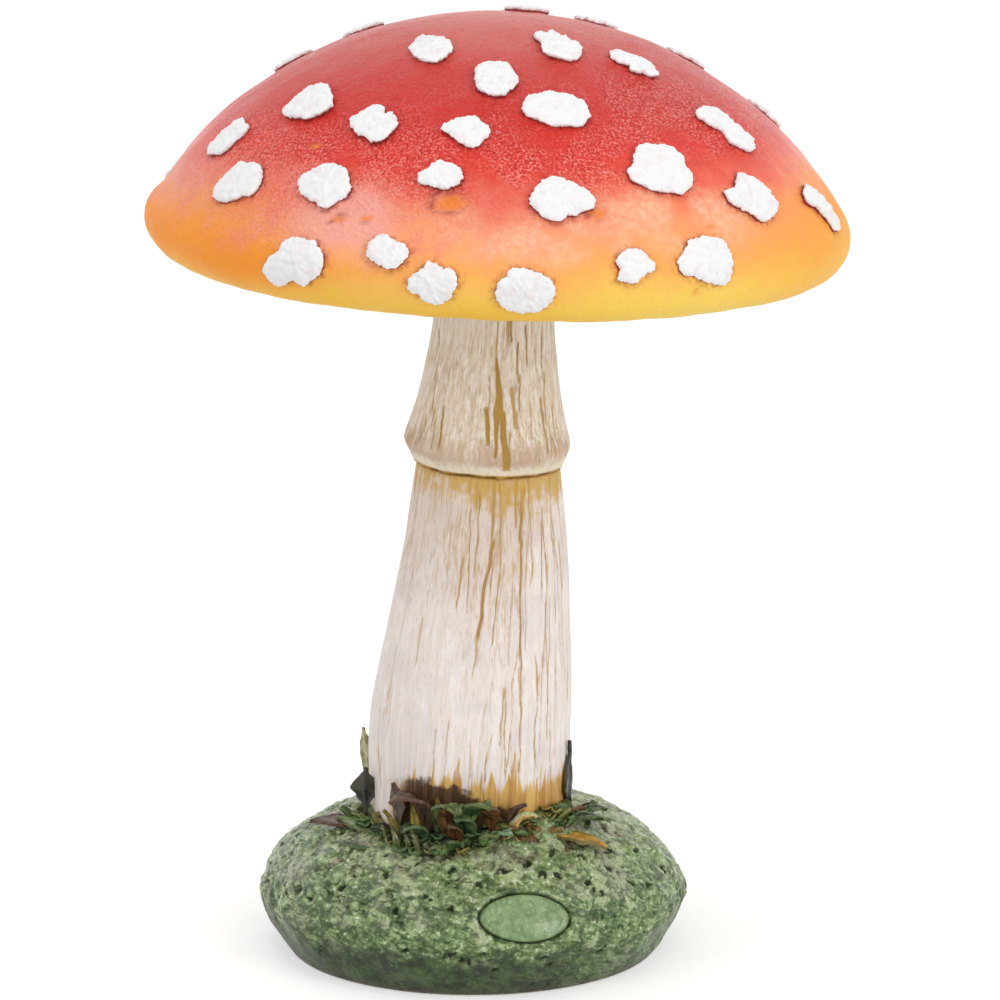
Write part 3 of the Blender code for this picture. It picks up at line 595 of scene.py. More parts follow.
profile = arc((0.0, DOME_CENTRE), DOME_RADIUS, 0.0, DOME_ANGLE, 92)
profile += arc((CAP_RADIUS - RIM_RADIUS, 0.0), RIM_RADIUS, DOME_ANGLE, RIM_END, 30)[1:]
socket_radius = profile[-1][0]
ledge_inside = socket_radius - LEDGE_WIDTH
ceiling_radius = DOME_RADIUS - CAP_WALL
profile += [(socket_radius, LEDGE_HEIGHT), (ledge_inside, LEDGE_HEIGHT)]
profile += arc((0.0, DOME_CENTRE), ceiling_radius, math.asin(ledge_inside / ceiling_radius),
               math.asin(BOSS_RADIUS / ceiling_radius), 8)
profile += [(BOSS_RADIUS, BOSS_HEIGHT), (0.0, BOSS_HEIGHT)]
cap = spun("painted_cap", profile, steps=384)

for name in ("torn", "crater", "scar"):
    cap.data.attributes.new(name, "FLOAT", "POINT")
torn_edges, craters, scars = (cap.data.attributes[name] for name in ("torn", "crater", "scar"))
moves = []
for vertex in cap.data.vertices:
    reach = skin_reach(vertex.co)
    if reach is None:
        moves.append(None)
        continue
    bearing = math.atan2(vertex.co.y, vertex.co.x)
    lift, torn, orange, scar = cap_lift(bearing, reach, vertex.co.copy())
    scars.data[vertex.index].value = scar
    torn_edges.data[vertex.index].value = torn
    craters.data[vertex.index].value = orange
    moves.append(skin_point(bearing, reach, lift))
for vertex, moved in zip(cap.data.vertices, moves):
    if moved is not None:
        vertex.co = moved
settle(cap, cap_place)
print("shaped", sum(move is not None for move in moves), "points of the skin")

# %% [markdown]
# The cap was sprayed in one soft fade: deep red on the shoulders, then orange, and golden yellow
# on the rim; the pale red at the crown is painted sheen. It was sprayed in layers, so the borders
# drift. A ramp over the height gives the fade, and two sizes of noise push its borders about. A
# painted texture would leave more freedom, but it would need the skin unwrapped first. Broad
# patches lie over the fade: deeper orange on both flanks, gold on the rim, a rosy blush, and on
# the left a pale pink patch that is a painted highlight.

# %% The fade of the cap
cap_paint = Finish("cap_paint", {"IOR": 1.45, "Specular IOR Level": 0.25})
in_cap = cap_paint.place(*cap_frame)
drift = cap_paint.grain(in_cap, 0.022, 2.0) * 10 + cap_paint.grain(in_cap, 0.004, 3.0) * 5 - 7.5
rightwards = cap_paint.height(in_cap, "X") * 1000
level = (cap_paint.height(in_cap) * 1000 + drift + 10 - rightwards * 0.04) / 64
# The top stops turn paler towards the crown: painted sheen of the lamp above.
fade = cap_paint.node("ShaderNodeValToRGB", {"stops": (
    (0.00, colour(255, 217, 92)), (0.08, colour(255, 213, 96)), (0.20, colour(254, 177, 90)),
    (0.34, colour(253, 156, 106)), (0.45, colour(244, 106, 80)), (0.55, colour(231, 58, 44)),
    (0.72, colour(213, 42, 34)), (0.86, colour(211, 66, 58)), (1.00, colour(220, 108, 98)))},
    {"Fac": level})
shaded = (1 - cap_paint.rise(rightwards, -62, -24)) * (1 - cap_paint.rise(level, 0.24, 0.42))
shaded = shaded * (cap_paint.rise(level, 0.02, 0.20) * 0.56 + 0.24)
fade = cap_paint.blend(shaded, fade, colour(255, 150, 22))
flank = cap_paint.rise(rightwards, 50, 80) * (1 - cap_paint.rise(level, 0.34, 0.48))
fade = cap_paint.blend(flank * 0.50, fade, colour(250, 158, 30))
blush = cap_paint.rise(cap_paint.grain(in_cap, 0.012, 4.0, 0.6), 0.46, 0.60)
blush = blush * (1 - cap_paint.rise(rightwards, -20, 20))
blush = blush * cap_paint.rise(level, 0.19, 0.33) * (1 - cap_paint.rise(level, 0.45, 0.55))
golden = (1 - cap_paint.rise(level, 0.02, 0.16)) * (1 - cap_paint.rise(rightwards, -10, 45))
fade = cap_paint.blend(golden * 0.60, fade, colour(253, 184, 24))
fade = cap_paint.blend(blush * 0.62, fade, colour(246, 136, 120))
# Painted highlight: a pale pink patch on the left front, where the varnish reflects the lamps.
painted_highlight_left = cap_paint.rise(rightwards + drift, -52, -42) * (1 - cap_paint.rise(rightwards + drift, -32, -20))
painted_highlight_left = painted_highlight_left * cap_paint.rise(level, 0.20, 0.30) * (1 - cap_paint.rise(level, 0.38, 0.50))
painted_highlight_left = painted_highlight_left * (1 - cap_paint.rise(cap_paint.height(in_cap, "Y") * 1000, -40, -20))
fade = cap_paint.blend(painted_highlight_left * 0.55, fade, colour(255, 186, 176))
print("fade of the cap:", len(cap_paint.tree.nodes), "nodes")

# %% [markdown]
# Over the fade a pale peach band of painted sheen lies across the middle and the right, pink specks
# are painted glints where the varnish wrinkled, dark red specks lie with them, and the paint is
# redder round the torn edges. Fine noise gives the specks, and the values kept on the mesh tell
# where the skin is torn or hollow. The varnish is wrinkled and glitters on the red, while the rim is
# more satin, so that its yellow stays to the very edge. A picture of the specks would be quicker to
# lay on, but it would blur when looked at from close by.

# %% Speckle and varnish of the cap
torn = cap_paint.attribute("torn")
tipped = level - rightwards * 0.0018
band = cap_paint.rise(tipped, 0.34, 0.46) * (1 - cap_paint.rise(tipped, 0.66, 0.84))
broken = band * cap_paint.rise(cap_paint.grain(in_cap, 0.014, 2.0), 0.36, 0.58)
sparkle = cap_paint.grain(in_cap, 0.00065, 3.0, 0.7)
# Painted sheen: a pale peach band across the middle and the right of the cap.
pale = cap_paint.rise(level, 0.20, 0.30) * (1 - cap_paint.rise(level, 0.38, 0.48))
sheen_patches = cap_paint.rise(cap_paint.grain(in_cap, 0.018, 3.0), 0.38, 0.56)
sheen_patches = sheen_patches * cap_paint.rise(rightwards, -30, 10) * (1 - cap_paint.rise(rightwards, 48, 66))
grainy = cap_paint.rise(cap_paint.grain(in_cap, 0.0016, 4.0, 0.7), 0.42, 0.60) * 0.40 + 0.35
with_painted_sheen = cap_paint.blend(pale * sheen_patches * grainy, fade, colour(250, 200, 166))
# Painted glints: pink specks in the band where the varnish wrinkles and catches the light.
with_painted_glints = cap_paint.blend(cap_paint.rise(sparkle, 0.50, 0.62) * (broken * 0.46 + 0.03), with_painted_sheen,
                       colour(252, 182, 172))
dark = (1 - cap_paint.rise(sparkle, 0.38, 0.47)) * (broken * 0.55 + 0.10)
dark = dark * cap_paint.rise(level, 0.40, 0.52)
mottled = cap_paint.blend(dark, with_painted_glints, colour(150, 26, 26))
reddened = cap_paint.blend(torn * cap_paint.rise(cap_paint.grain(in_cap, 0.0014), 0.40, 0.6) * 0.60,
                           mottled, colour(150, 34, 30))
cratered = cap_paint.blend(cap_paint.attribute("crater") * 0.9, reddened, colour(246, 138, 50))
scarred = cap_paint.blend(cap_paint.attribute("scar") * 0.7, cratered, colour(150, 44, 32))
cap_paint.feed("Base Color", scarred)
wrinkles = cap_paint.cells(in_cap, 0.0011, "SMOOTH_F1") * 0.5
wrinkles = wrinkles + cap_paint.grain(in_cap, 0.0006, 3.0) * 0.5
satin = (1 - cap_paint.rise(level, 0.22, 0.46)) * 0.28
cap_paint.feed("Roughness", cap_paint.grain(in_cap, 0.003, 2.0) * 0.16 + 0.15 + satin)
cap_paint.relief(wrinkles * (cap_paint.rise(tipped, 0.30, 0.46) * 0.65 + 0.35), 0.00100)
hand_over(cap, cap_paint, ["cap_shell"])

# %% [markdown]
# The real warts are flat chips with a steep side and a crusty top. They all start from one flat
# blank: a circle is filled, extruded in three steps for the side, and inset eleven times for the
# crust. Sculpting forty-one chips by hand would give more variety, but no better fit to the dome.

# %% The blank of a wart
WART_SEGMENTS = 96
WART_STEPS = 3
WART_RINGS = 11


def stepped_disc(name, segments, steps, rings, inset):
    """A disc of radius 1 and height 1, extruded in steps and inset in rings on top."""
    bpy.ops.object.select_all(action="DESELECT")
    bpy.ops.mesh.primitive_circle_add(vertices=segments, radius=1.0, fill_type="NGON")
    disc = bpy.context.object
    disc.name = name
    bpy.ops.object.mode_set(mode="EDIT")
    bpy.ops.mesh.select_all(action="SELECT")
    for _ in range(steps):
        bpy.ops.mesh.extrude_region_move(TRANSFORM_OT_translate={"value": (0.0, 0.0, 1 / steps)})
    for _ in range(rings):
        bpy.ops.mesh.inset(thickness=inset, depth=0.0)
    bpy.ops.mesh.poke()
    bpy.ops.mesh.select_all(action="SELECT")
    bpy.ops.mesh.normals_make_consistent(inside=False)
    bpy.ops.object.mode_set(mode="OBJECT")
    return disc


blank = stepped_disc("wart_blank", WART_SEGMENTS, WART_STEPS, WART_RINGS, 1 / (WART_RINGS + 1))
print("blank of", len(blank.data.vertices), "points")

# %% [markdown]
# On the real cap each chip was pressed on and follows the dome. Here every wart is a copy of the
# blank with its own mesh, which is stretched to its outline, crumbled with noise and wrapped on
# the skin. A Shrinkwrap modifier could lay it down too, but it would flatten the crust. In the end
# the chips are joined into one piece, since they share one paint.

# %% Wrap forty-one warts
WART_THICKNESS = 0.0017
WART_ROOT = -0.0002
RAGGEDNESS = 0.00040


def wrap_wart(number, bearing, reach, radii):
    """A copy of the blank, torn to its outline and laid on the cap."""
    wart = bpy.data.objects.new(f"wart_chip_{number:02d}", blank.data.copy())
    bpy.context.scene.collection.objects.link(wart)
    ring = math.hypot(*skin_point(bearing, reach, 0.0).xy)
    away = Vector((7.3 * number, 3.1 * number, 0.0))
    rises = wart.data.attributes.new("rise", "FLOAT", "POINT")
    for vertex in wart.data.vertices:
        unit = vertex.co.copy()
        share = min(1.0, math.hypot(unit.x, unit.y))
        angle = math.atan2(unit.y, unit.x)
        rim = Vector((math.cos(angle), math.sin(angle), 0.0))
        radius = wart_radius(radii, angle)
        ragged = noise.noise(rim * radius / 0.0012 + away + Vector((0, 0, 1.4 * unit.z)))
        ragged += 0.9 * noise.noise(rim * radius / 0.0005 + away)
        radius += RAGGEDNESS * ragged * share ** 4
        flat = Vector((unit.x, unit.y, 0.0)) * radius
        crust = 0.20 * noise.noise(flat / 0.0021 + away) + 0.16 * noise.noise(flat / 0.0009 + away)
        pit = noise.noise(flat / 0.0016 - 2 * away)
        crust -= 0.55 * max(0.0, pit - 0.42)
        crust -= 0.20 * max(0.0, share - 0.86) / 0.14
        top = unit.z * (0.92 + 0.10 * (1 - share ** 2) + crust * unit.z)
        lift = WART_ROOT + (WART_THICKNESS - WART_ROOT) * top
        vertex.co = skin_point(bearing + flat.x / ring, reach - flat.y, lift)
        rises.data[vertex.index].value = unit.z * (1.0 - 0.25 * max(0.0, share - 0.9) / 0.1)
    return wart


def joined(name, pieces):
    """All the pieces as a single one, under a name of its own."""
    bpy.ops.object.select_all(action="DESELECT")
    for piece in pieces:
        piece.select_set(True)
    bpy.context.view_layer.objects.active = pieces[0]
    bpy.ops.object.join()
    whole = bpy.context.object
    whole.name = name
    return whole


chips = [wrap_wart(number, *wart) for number, wart in enumerate(warts, start=1)]
bpy.data.objects.remove(blank)
cap_warts = joined("cap_warts", chips)
bpy.ops.object.shade_smooth_by_angle(angle=math.radians(50))
settle(cap_warts, cap_place)
print("warts of", len(cap_warts.data.vertices), "points")

# %% [markdown]
# The warts are brushed with thick white paint that is chalky and nearly matt. At their foot the
# brush missed, and the cap's red shows as a thin dark line. The height of each point over the
# skin was kept on the mesh, so the paint can follow it exactly. A plain white would look cut out
# of paper, so a little grey and rose is mottled over it at random.

# %% Paint the warts
chalk = Finish("wart_chalk", {"IOR": 1.4})
where = chalk.place()
white = chalk.blend(chalk.rise(chalk.grain(where, 0.0016, 4.0, 0.65), 0.50, 0.72),
                    colour(245, 244, 244), colour(234, 232, 234))
rosy = chalk.blend(chalk.rise(chalk.grain(where, 0.0042, 2.0), 0.56, 0.70) * 0.25, white,
                   colour(240, 205, 205))
foot = 1 - chalk.rise(chalk.attribute("rise") + chalk.grain(where, 0.0012) * 0.3, 0.44, 0.70)
chalk.feed("Base Color", chalk.blend(foot, rosy, colour(140, 48, 44)))
chalk.feed("Roughness", chalk.grain(where, 0.002) * 0.3 + 0.50)
chalk.relief(chalk.grain(where, 0.0009, 4.0, 0.6), 0.0002)
hand_over(cap_warts, chalk, [f"wart_{number:02d}" for number in range(1, 42)])

# %% [markdown]
# The stalk is cast as two pieces, and both were carved with the same tool: fine fibres run along
# them, with some deeper scratches that hold the dark paint. A stroke is told by its bearing and
# height at both ends, in degrees and millimetres, its width there, and its depth. Noise alone would
# give fibres, but never a scratch where the real stalk has one. So the scratches that can be told
# apart are listed, and only finer ones are drawn by chance. The flames of paint at the foot are
# told in the same way, though they aren't cut.

# %% Strokes along the stalk
# Bearing and height of the start, the same of the end, both widths, and the depth.
STEM_STROKES = (
    (-85, 81, -90, 69, 0.6, 0.9, 1.0), (-90, 69, -91, 57, 0.9, 1.0, 1.0),
    (-91, 57, -92, 47, 0.6, 0.3, 0.8), (-65, 81, -64, 60, 0.6, 0.5, 1.0),
    (-64, 60, -62, 50, 0.5, 0.5, 1.0), (-62, 50, -60, 23, 0.5, 0.4, 0.9),
    (-107, 76, -107, 64, 0.6, 0.5, 0.7), (-131, 60, -130, 48, 0.9, 0.5, 0.6),
    (-75, 62, -72, 57, 0.8, 1.2, 0.5), (-73, 44, -73, 30, 0.5, 0.4, 0.8),
    (-52, 52, -49, 42, 0.5, 0.8, 0.8), (-51, 35, -49, 23, 0.4, 0.5, 0.8),
    (-41, 49, -40, 30, 0.5, 0.5, 0.9), (-26, 79, -24, 64, 0.8, 0.7, 0.9),
    (-24, 64, -23, 50, 0.7, 0.6, 0.9), (-23, 50, -17, 36, 0.6, 0.4, 0.8),
    (-34, 80, -32, 73, 0.6, 0.5, 0.7), (-78, 33, -81, 24, 0.4, 0.5, 0.6),
    (-68, 97, -69, 85, 1.0, 0.6, 0.9), (-62, 94, -66, 81, 1.4, 0.7, 1.0),
    (-85, 97, -87, 77, 0.9, 0.6, 0.9), (-100, 96, -99, 88, 1.2, 0.5, 0.6),
    (-32, 97, -34, 86, 0.6, 0.5, 0.8), (-34, 86, -31, 76, 0.5, 0.6, 0.8),
    (-21, 96, -22, 75, 0.6, 0.6, 0.8), (-77, 97.5, -75, 91, 2.4, 0.5, 0.6),
    (-93, 97.5, -91, 91, 2.6, 0.5, 0.6), (-107, 97.5, -104, 92, 2.0, 0.4, 0.5),
    (-147, 98, -148, 90, 2.6, 0.6, 0.6), (-50, 97.5, -53, 93, 2.0, 0.4, 0.5),
    (-160, 80, -158, 62, 0.5, 0.4, 0.5), (-118, 84, -117, 70, 0.5, 0.4, 0.5),
    (-10, 70, -8, 40, 0.6, 0.5, 0.8), (12, 90, 14, 58, 0.7, 0.5, 0.8),
    (40, 66, 41, 30, 0.6, 0.5, 0.8), (58, 97, 56, 74, 1.2, 0.6, 0.9),
    (82, 80, 84, 48, 0.7, 0.5, 0.9), (100, 52, 99, 24, 0.5, 0.5, 0.8),
    (121, 97, 122, 79, 1.3, 0.6, 0.9), (140, 75, 142, 50, 0.6, 0.5, 0.7),
    (163, 56, 164, 30, 0.5, 0.4, 0.7),
)
FOOT_FLAMES = (
    (-123, 15, -122, 22.5, 1.6, 0.3, 0.3), (-111, 15, -110, 23, 1.5, 0.3, 0.3),
    (-104, 15, -103, 20.5, 3.7, 0.8, 0.3), (-97, 14, -96, 25.5, 4.0, 0.4, 0.3),
    (-100, 14, -101, 21.5, 2.2, 0.3, 0.3), (-83, 14, -83, 23, 1.8, 0.3, 0.3),
    (-78, 13, -77, 22.5, 3.3, 0.5, 0.3), (-74, 12, -75, 18.5, 3.0, 0.6, 0.3),
    (-69, 12, -67, 21.5, 3.3, 0.5, 0.3), (-64, 11, -64, 27, 3.7, 0.4, 0.3),
    (-58, 11, -60, 20, 3.0, 0.5, 0.3), (-53, 11, -53, 18, 3.0, 0.6, 0.3),
    (-47, 10, -48, 19.5, 2.6, 0.4, 0.3), (-42, 9, -41, 21.5, 2.1, 0.3, 0.3),
    (-35, 9, -36, 16.5, 2.2, 0.4, 0.3), (-27, 8, -26, 19.5, 1.9, 0.3, 0.3),
    (-15, 8, -15, 15.5, 2.2, 0.4, 0.3), (8, 6, 9, 17, 3.3, 0.4, 0.3),
    (35, 6, 33, 15, 3.4, 0.4, 0.3), (62, 6, 63, 18, 3.4, 0.4, 0.3),
    (95, 6, 94, 16, 3.6, 0.4, 0.3), (128, 6, 129, 19, 3.3, 0.4, 0.3),
    (155, 6, 154, 14, 3.1, 0.3, 0.3), (-168, 6, -167, 13, 2.2, 0.3, 0.2),
)
SLEEVE_STROKES = (
    (-86, 126, -83, 117, 0.4, 1.8, 1.2), (-83, 117, -83, 112, 1.8, 2.7, 1.2),
    (-85, 113, -85, 103, 1.5, 0.7, 1.1), (-80, 113, -77, 99, 1.4, 1.7, 1.3),
    (-93, 114, -91, 106, 1.2, 0.9, 1.0), (-92, 122, -91, 115, 0.5, 0.4, 0.7),
    (-72, 119, -70, 110, 1.0, 0.8, 0.8), (-68, 108, -65, 105, 2.4, 1.4, 0.5),
    (-130, 113, -127, 104, 0.7, 0.7, 0.9), (-147, 123, -143, 112, 0.6, 0.6, 0.7),
    (-140, 112, -139, 108, 0.7, 0.5, 0.7), (-136, 110, -134, 103, 0.6, 0.5, 0.7),
    (-160, 107, -164, 102, 1.4, 1.8, 0.5), (-146, 109, -148, 104, 0.6, 0.5, 0.7),
    (-44, 116, -44, 103, 0.8, 0.6, 0.9), (-37, 122, -41, 110, 0.5, 0.6, 0.8),
    (-38, 110, -35, 101, 0.5, 0.5, 0.8), (-29, 109, -23, 103, 0.5, 0.5, 0.8),
    (-32, 113, -31, 105, 0.5, 0.4, 0.8), (-17, 112, -12, 103, 0.5, 0.5, 0.7),
    (-74, 137, -73, 131, 0.6, 0.5, 1.0), (-66, 130, -67, 125, 0.6, 0.5, 1.0),
    (-58, 134, -57, 125, 0.5, 0.4, 1.0), (-38, 133, -39, 124, 0.6, 0.5, 1.0),
    (-67, 124, -66, 121, 0.6, 0.5, 0.9), (-154, 131, -149, 127, 0.7, 0.5, 0.8),
    (5, 124, 8, 103, 0.8, 0.7, 0.9), (32, 119, 34, 102, 1.4, 1.0, 1.0),
    (51, 132, 52, 116, 0.6, 0.5, 0.9), (73, 122, 71, 100, 1.2, 1.4, 1.1),
    (98, 115, 99, 103, 0.7, 0.6, 0.9), (117, 135, 118, 118, 0.6, 0.5, 0.9),
    (139, 120, 141, 101, 1.1, 1.2, 1.0), (166, 127, 169, 106, 0.8, 0.6, 0.9),
)

stroke_rng = random.Random(11)


def hairs(count, low, high, longest):
    """Thin random strokes: half of them in front and on the right, the rest anywhere."""
    strokes = []
    for number in range(count):
        bearing = stroke_rng.uniform(-85, 15) if number % 2 else stroke_rng.uniform(-180, 180)
        start = stroke_rng.uniform(low, high)
        end = max(low, start - stroke_rng.uniform(0.25, 1.0) * longest)
        strokes.append((bearing, start, bearing + stroke_rng.uniform(-3, 3), end, 0.42, 0.34,
                        stroke_rng.uniform(0.45, 0.95)))
    return tuple(strokes)


STEM_STROKES += hairs(150, 14, 97, 26)
SLEEVE_STROKES += hairs(44, 101, 140, 13)
print(len(STEM_STROKES) + len(SLEEVE_STROKES), "strokes and", len(FOOT_FLAMES), "flames of paint")

# %% [markdown]
# Relief that is only painted on would vanish along the outline, so the strokes are cut into the
# mesh: each point of a spun piece moves along its normal, up and down with the fibres, and down
# where a stroke covers it. How much a stroke covers a point is kept for the paint. A Displace
# modifier with a picture of the strokes would be quicker, but its lines would be only as sharp as
# the picture. The real stalk also bows a little, which comes last.

# %% Carve the strokes
# A stroke fades out over this many millimetres past its ends.
STROKE_END = 1.5
STROKE_DEPTH = 0.00042
FIBRE_RING = 0.022


def covered(strokes, bearing, height, radius):
    """How much of the deepest stroke lies over a point, from 0 to about 1."""
    best = 0.0
    for start_bearing, start, end_bearing, end, start_width, end_width, depth in strokes:
        low, high = min(start, end), max(start, end)
        if height > high + STROKE_END or height < low - STROKE_END:
            continue
        share = min(1.0, max(0.0, (height - start) / (end - start)))
        middle = math.radians(start_bearing + (end_bearing - start_bearing) * share)
        off = abs(turn_between(bearing, middle)) * radius
        half = (start_width + (end_width - start_width) * share) / 2
        past = max(0.0, low - height, height - high) / STROKE_END
        if off < half * 1.5:
            best = max(best, depth * (1 - past) * min(1.0, 2.2 * (1.25 - off / half)))
    return best


def sway(height):
    """The real stalk isn't quite straight; this is how far it bows to the right."""
    return (-0.0010 * math.exp(-((height - 0.026) / 0.022) ** 2)
            + 0.0008 * math.exp(-((height - 0.078) / 0.020) ** 2))


def fibres(bearing, height):
    """Fine and coarse fibres along the stalk, each from about -1 to 1."""
    around = Vector((math.cos(bearing), math.sin(bearing), 0.0)) * FIBRE_RING
    fine = noise.noise(around / 0.00085 + Vector((0, 0, height / 0.013)))
    coarse = noise.noise(around / 0.0026 + Vector((9, 4, height / 0.040)))
    return fine, coarse


def carve(piece, visible, strokes, foot):
    """Cut fibres and strokes into the visible side of a spun piece, and keep them for the paint."""
    for name in ("stroke", "lick"):
        piece.data.attributes.new(name, "FLOAT", "POINT")
    strokes_kept, licks_kept = piece.data.attributes["stroke"], piece.data.attributes["lick"]
    normals = [vertex.normal.copy() for vertex in piece.data.vertices]
    for vertex, normal in zip(piece.data.vertices, normals):
        height = vertex.co.z
        bearing = math.atan2(vertex.co.y, vertex.co.x)
        radius = math.hypot(vertex.co.x, vertex.co.y)
        if visible(radius, height):
            fine, coarse = fibres(bearing, height)
            waver = noise.noise(Vector((4 * bearing, 2.0, height / 0.004)))
            wobble = bearing + 0.00035 / radius * waver
            stroke = covered(strokes, wobble, 1000 * height, 1000 * radius)
            flame = covered(FOOT_FLAMES, wobble, 1000 * height, 1000 * radius) if foot else 0.0
            lift = 0.00010 * fine + 0.00016 * coarse - STROKE_DEPTH * stroke
            lift += 0.00030 * noise.noise(Vector((2 * bearing, 5.0, height / 0.02)))
            vertex.co += normal * lift
            strokes_kept.data[vertex.index].value = min(1.0, stroke)
            licks_kept.data[vertex.index].value = min(1.0, flame * 4)
        vertex.co.x += sway(height)
    print(piece.name, "carved,", len(piece.data.vertices), "points")


# %% [markdown]
# The stem widens down to a soft belly and stands in the mound. Its upper end is a plain spigot
# that goes up through the sleeve and into the cap; nobody sees it, so it gets few rings. The part
# in view gets one ring to the millimetre, which is enough for the strokes.

# %% Spin and carve the stem
SHOULDER = (0.0181, 0.0965)
BELLY = (0.0259, 0.031)
FOOT_RADIUS = 0.0252
FOOT = (FOOT_RADIUS, 0.0003)
BORE_RADIUS = 0.0043
BORE_DEPTH = 0.018
SPIGOT_RADIUS = 0.0125
SPIGOT_TOP = 0.172


def soft_corner(before, corner, after, reach, steps):
    """A rounded corner of a profile, which leaves and joins its sides at the reach."""
    start = Vector(corner) + (Vector(before) - Vector(corner)).normalized() * reach
    end = Vector(corner) + (Vector(after) - Vector(corner)).normalized() * reach
    return [tuple((1 - t) ** 2 * start + 2 * t * (1 - t) * Vector(corner) + t * t * end)
            for t in (step / steps for step in range(steps + 1))]


upper_bore = [(0.0, 0.154), (BORE_RADIUS, 0.154), (BORE_RADIUS, SPIGOT_TOP)]
spigot = [(SPIGOT_RADIUS, SPIGOT_TOP), (SPIGOT_RADIUS, 0.150), (0.0158, 0.0965), (0.0177, 0.0965)]
lower_bore = [(BORE_RADIUS, 0.0003), (BORE_RADIUS, BORE_DEPTH), (0.0, BORE_DEPTH)]
stem_side = [(0.0181, 0.0961)] + soft_corner(SHOULDER, BELLY, FOOT, 0.011, 8)
stem_side += [(FOOT_RADIUS, 0.0011), (0.0244, 0.0003)]
stem_profile = upper_bore + spigot + filled(stem_side, spacing=0.0012) + lower_bore
stem = spun("painted_stem", stem_profile, steps=720)
carve(stem, lambda radius, height: radius > 0.0178 and 0.0005 < height < 0.0963, STEM_STROKES, True)
settle(stem, stalk_place)

# %% [markdown]
# The stem was first washed with ochre, which stayed in the scratches, and then dry-brushed with
# cream, which caught only the high fibres. The paint does the same: the strokes kept on the mesh
# pick the ochre, and long stretched noise breaks up the cream. The wash grows with the height, and
# it is held back on the right edge, which is kept paler as painted light. A picture wrapped round
# the stem would have a seam at the back.

# %% The wash on the stem
bark = Finish("stem_paint", {"IOR": 1.42})
in_stalk = bark.place(*stalk_frame)
streaks = bark.place(*stalk_frame, (1, 1, 20))
sideways = bark.height(in_stalk, "X") * 1000
up = bark.height(in_stalk) * 1000
stroke = bark.attribute("stroke")
hair = bark.grain(streaks, 0.00050, 3.0, 0.65)
veil = bark.grain(streaks, 0.0016, 3.0, 0.6)
cloud = bark.grain(in_stalk, 0.012, 2.0)
cream = bark.blend(bark.rise(veil, 0.38, 0.62), colour(246, 234, 226), colour(254, 246, 242))
pinked = bark.blend(bark.rise(cloud, 0.44, 0.62) * 0.5, cream, colour(236, 226, 226))
# Painted light: the right edge of the stem is kept pale, where the strong lamp falls.
painted_light_right = bark.rise(sideways, 7, 14) * 0.40
aged = bark.rise(sideways / 160 + up / 100 + cloud * 0.6 - painted_light_right, 0.66, 1.20)
ochred = bark.blend(aged * bark.rise(veil + hair * 0.4, 0.62, 0.86) * 0.75, pinked,
                    colour(202, 168, 118))
washed = bark.blend(aged * bark.rise(up, 50, 90) * 0.35, ochred, colour(204, 176, 142))
haired = bark.blend(bark.rise(hair, 0.53, 0.62) * (aged * 0.36 + 0.22), washed, colour(206, 180, 150))
scratched = bark.blend(bark.rise(stroke + hair * 0.3, 0.45, 0.95) * 0.88, haired,
                       colour(206, 166, 104))
deep = bark.blend(bark.rise(stroke, 0.75, 1.05) * 0.65, scratched, colour(168, 124, 60))
print("wash on the stem:", len(bark.tree.nodes), "nodes")

# %% [markdown]
# At the top of the real stem, ochre has run down from under the skirt. At the foot, mustard flames
# lick up from the moss, painted shade darkens the stem behind the leaves, and the right side has a
# red-brown rim.
# Each is a band over the height with a ragged border, so noise pushes the height up and down
# before it is compared; only the flames also follow what was kept on the mesh. Masks painted by
# hand would do as well, but a band in numbers can still be moved.

# %% Runs and flames on the stem
ragged = up + veil * 18 + bark.grain(in_stalk, 0.0026, 3.0) * 14 + bark.rise(sideways, -12, 0) * 3
running = bark.rise(ragged, 105.5, 113.0)
topped = bark.blend(running * 0.88, deep, colour(212, 170, 82))
flame = bark.attribute("lick")
rightwards = bark.rise(sideways + cloud * 10, -18, -10)
low = (1 - bark.rise(up + bark.grain(streaks, 0.0018, 3.0) * 12, 21.8, 28.0)) * rightwards
mustard = bark.blend(bark.rise(veil, 0.36, 0.62), colour(194, 134, 30), colour(234, 186, 88))
lick_share = bark.rise(flame * 0.72 + low * 0.86 + hair * 1.3, 0.72, 1.52)
licked = bark.blend(lick_share * 0.92, topped, mustard)
# Painted shade: the stem is darkened behind the leaves, below a line that rises to the left.
lean = 7.6 - bark.rise(sideways, -7, 9) * 5.8
front = 1 - bark.rise(bark.height(in_stalk, "Y") * 1000, -9, -3)
nook = bark.rise(sideways, -18.5, -15.5) * (1 - bark.rise(sideways, 8, 11)) * front
crumbled = bark.grain(in_stalk, 0.0020, 2.0, 0.5) * 5 + veil * 3
shade = (1 - bark.rise(up + crumbled - lean, 14.6, 16.4)) * nook
rim = (1 - bark.rise(up + veil * 4, 12.0, 14.5)) * bark.rise(sideways, 4, 9) * front
painted_shade_brown = bark.blend(bark.rise(veil, 0.4, 0.6), colour(44, 30, 22), colour(84, 52, 40))
darkened = bark.blend(shade * 0.92, licked, painted_shade_brown)
bark.feed("Base Color", bark.blend(rim * 0.85, darkened, colour(92, 52, 30)))
bark.feed("Roughness", veil * 0.25 + 0.40)
bark.relief(hair * 0.7 + veil * 0.3, 0.00045)
hand_over(stem, bark, ["stem"])

# %% [markdown]
# The sleeve carries the skirt: it flares to a rounded edge, turns in below, and ends in a thin
# lip that isn't level. It is a shell round the stem's spigot, so its profile goes down the outside
# and up the bore. The unevenness of the edge is a slow wave over the bearing, because the real
# one was pinched by hand.

# %% Spin and carve the sleeve
SLEEVE_FOOT = 0.0968
SLEEVE_TOP = 0.1592
SLEEVE_BORE = 0.0128

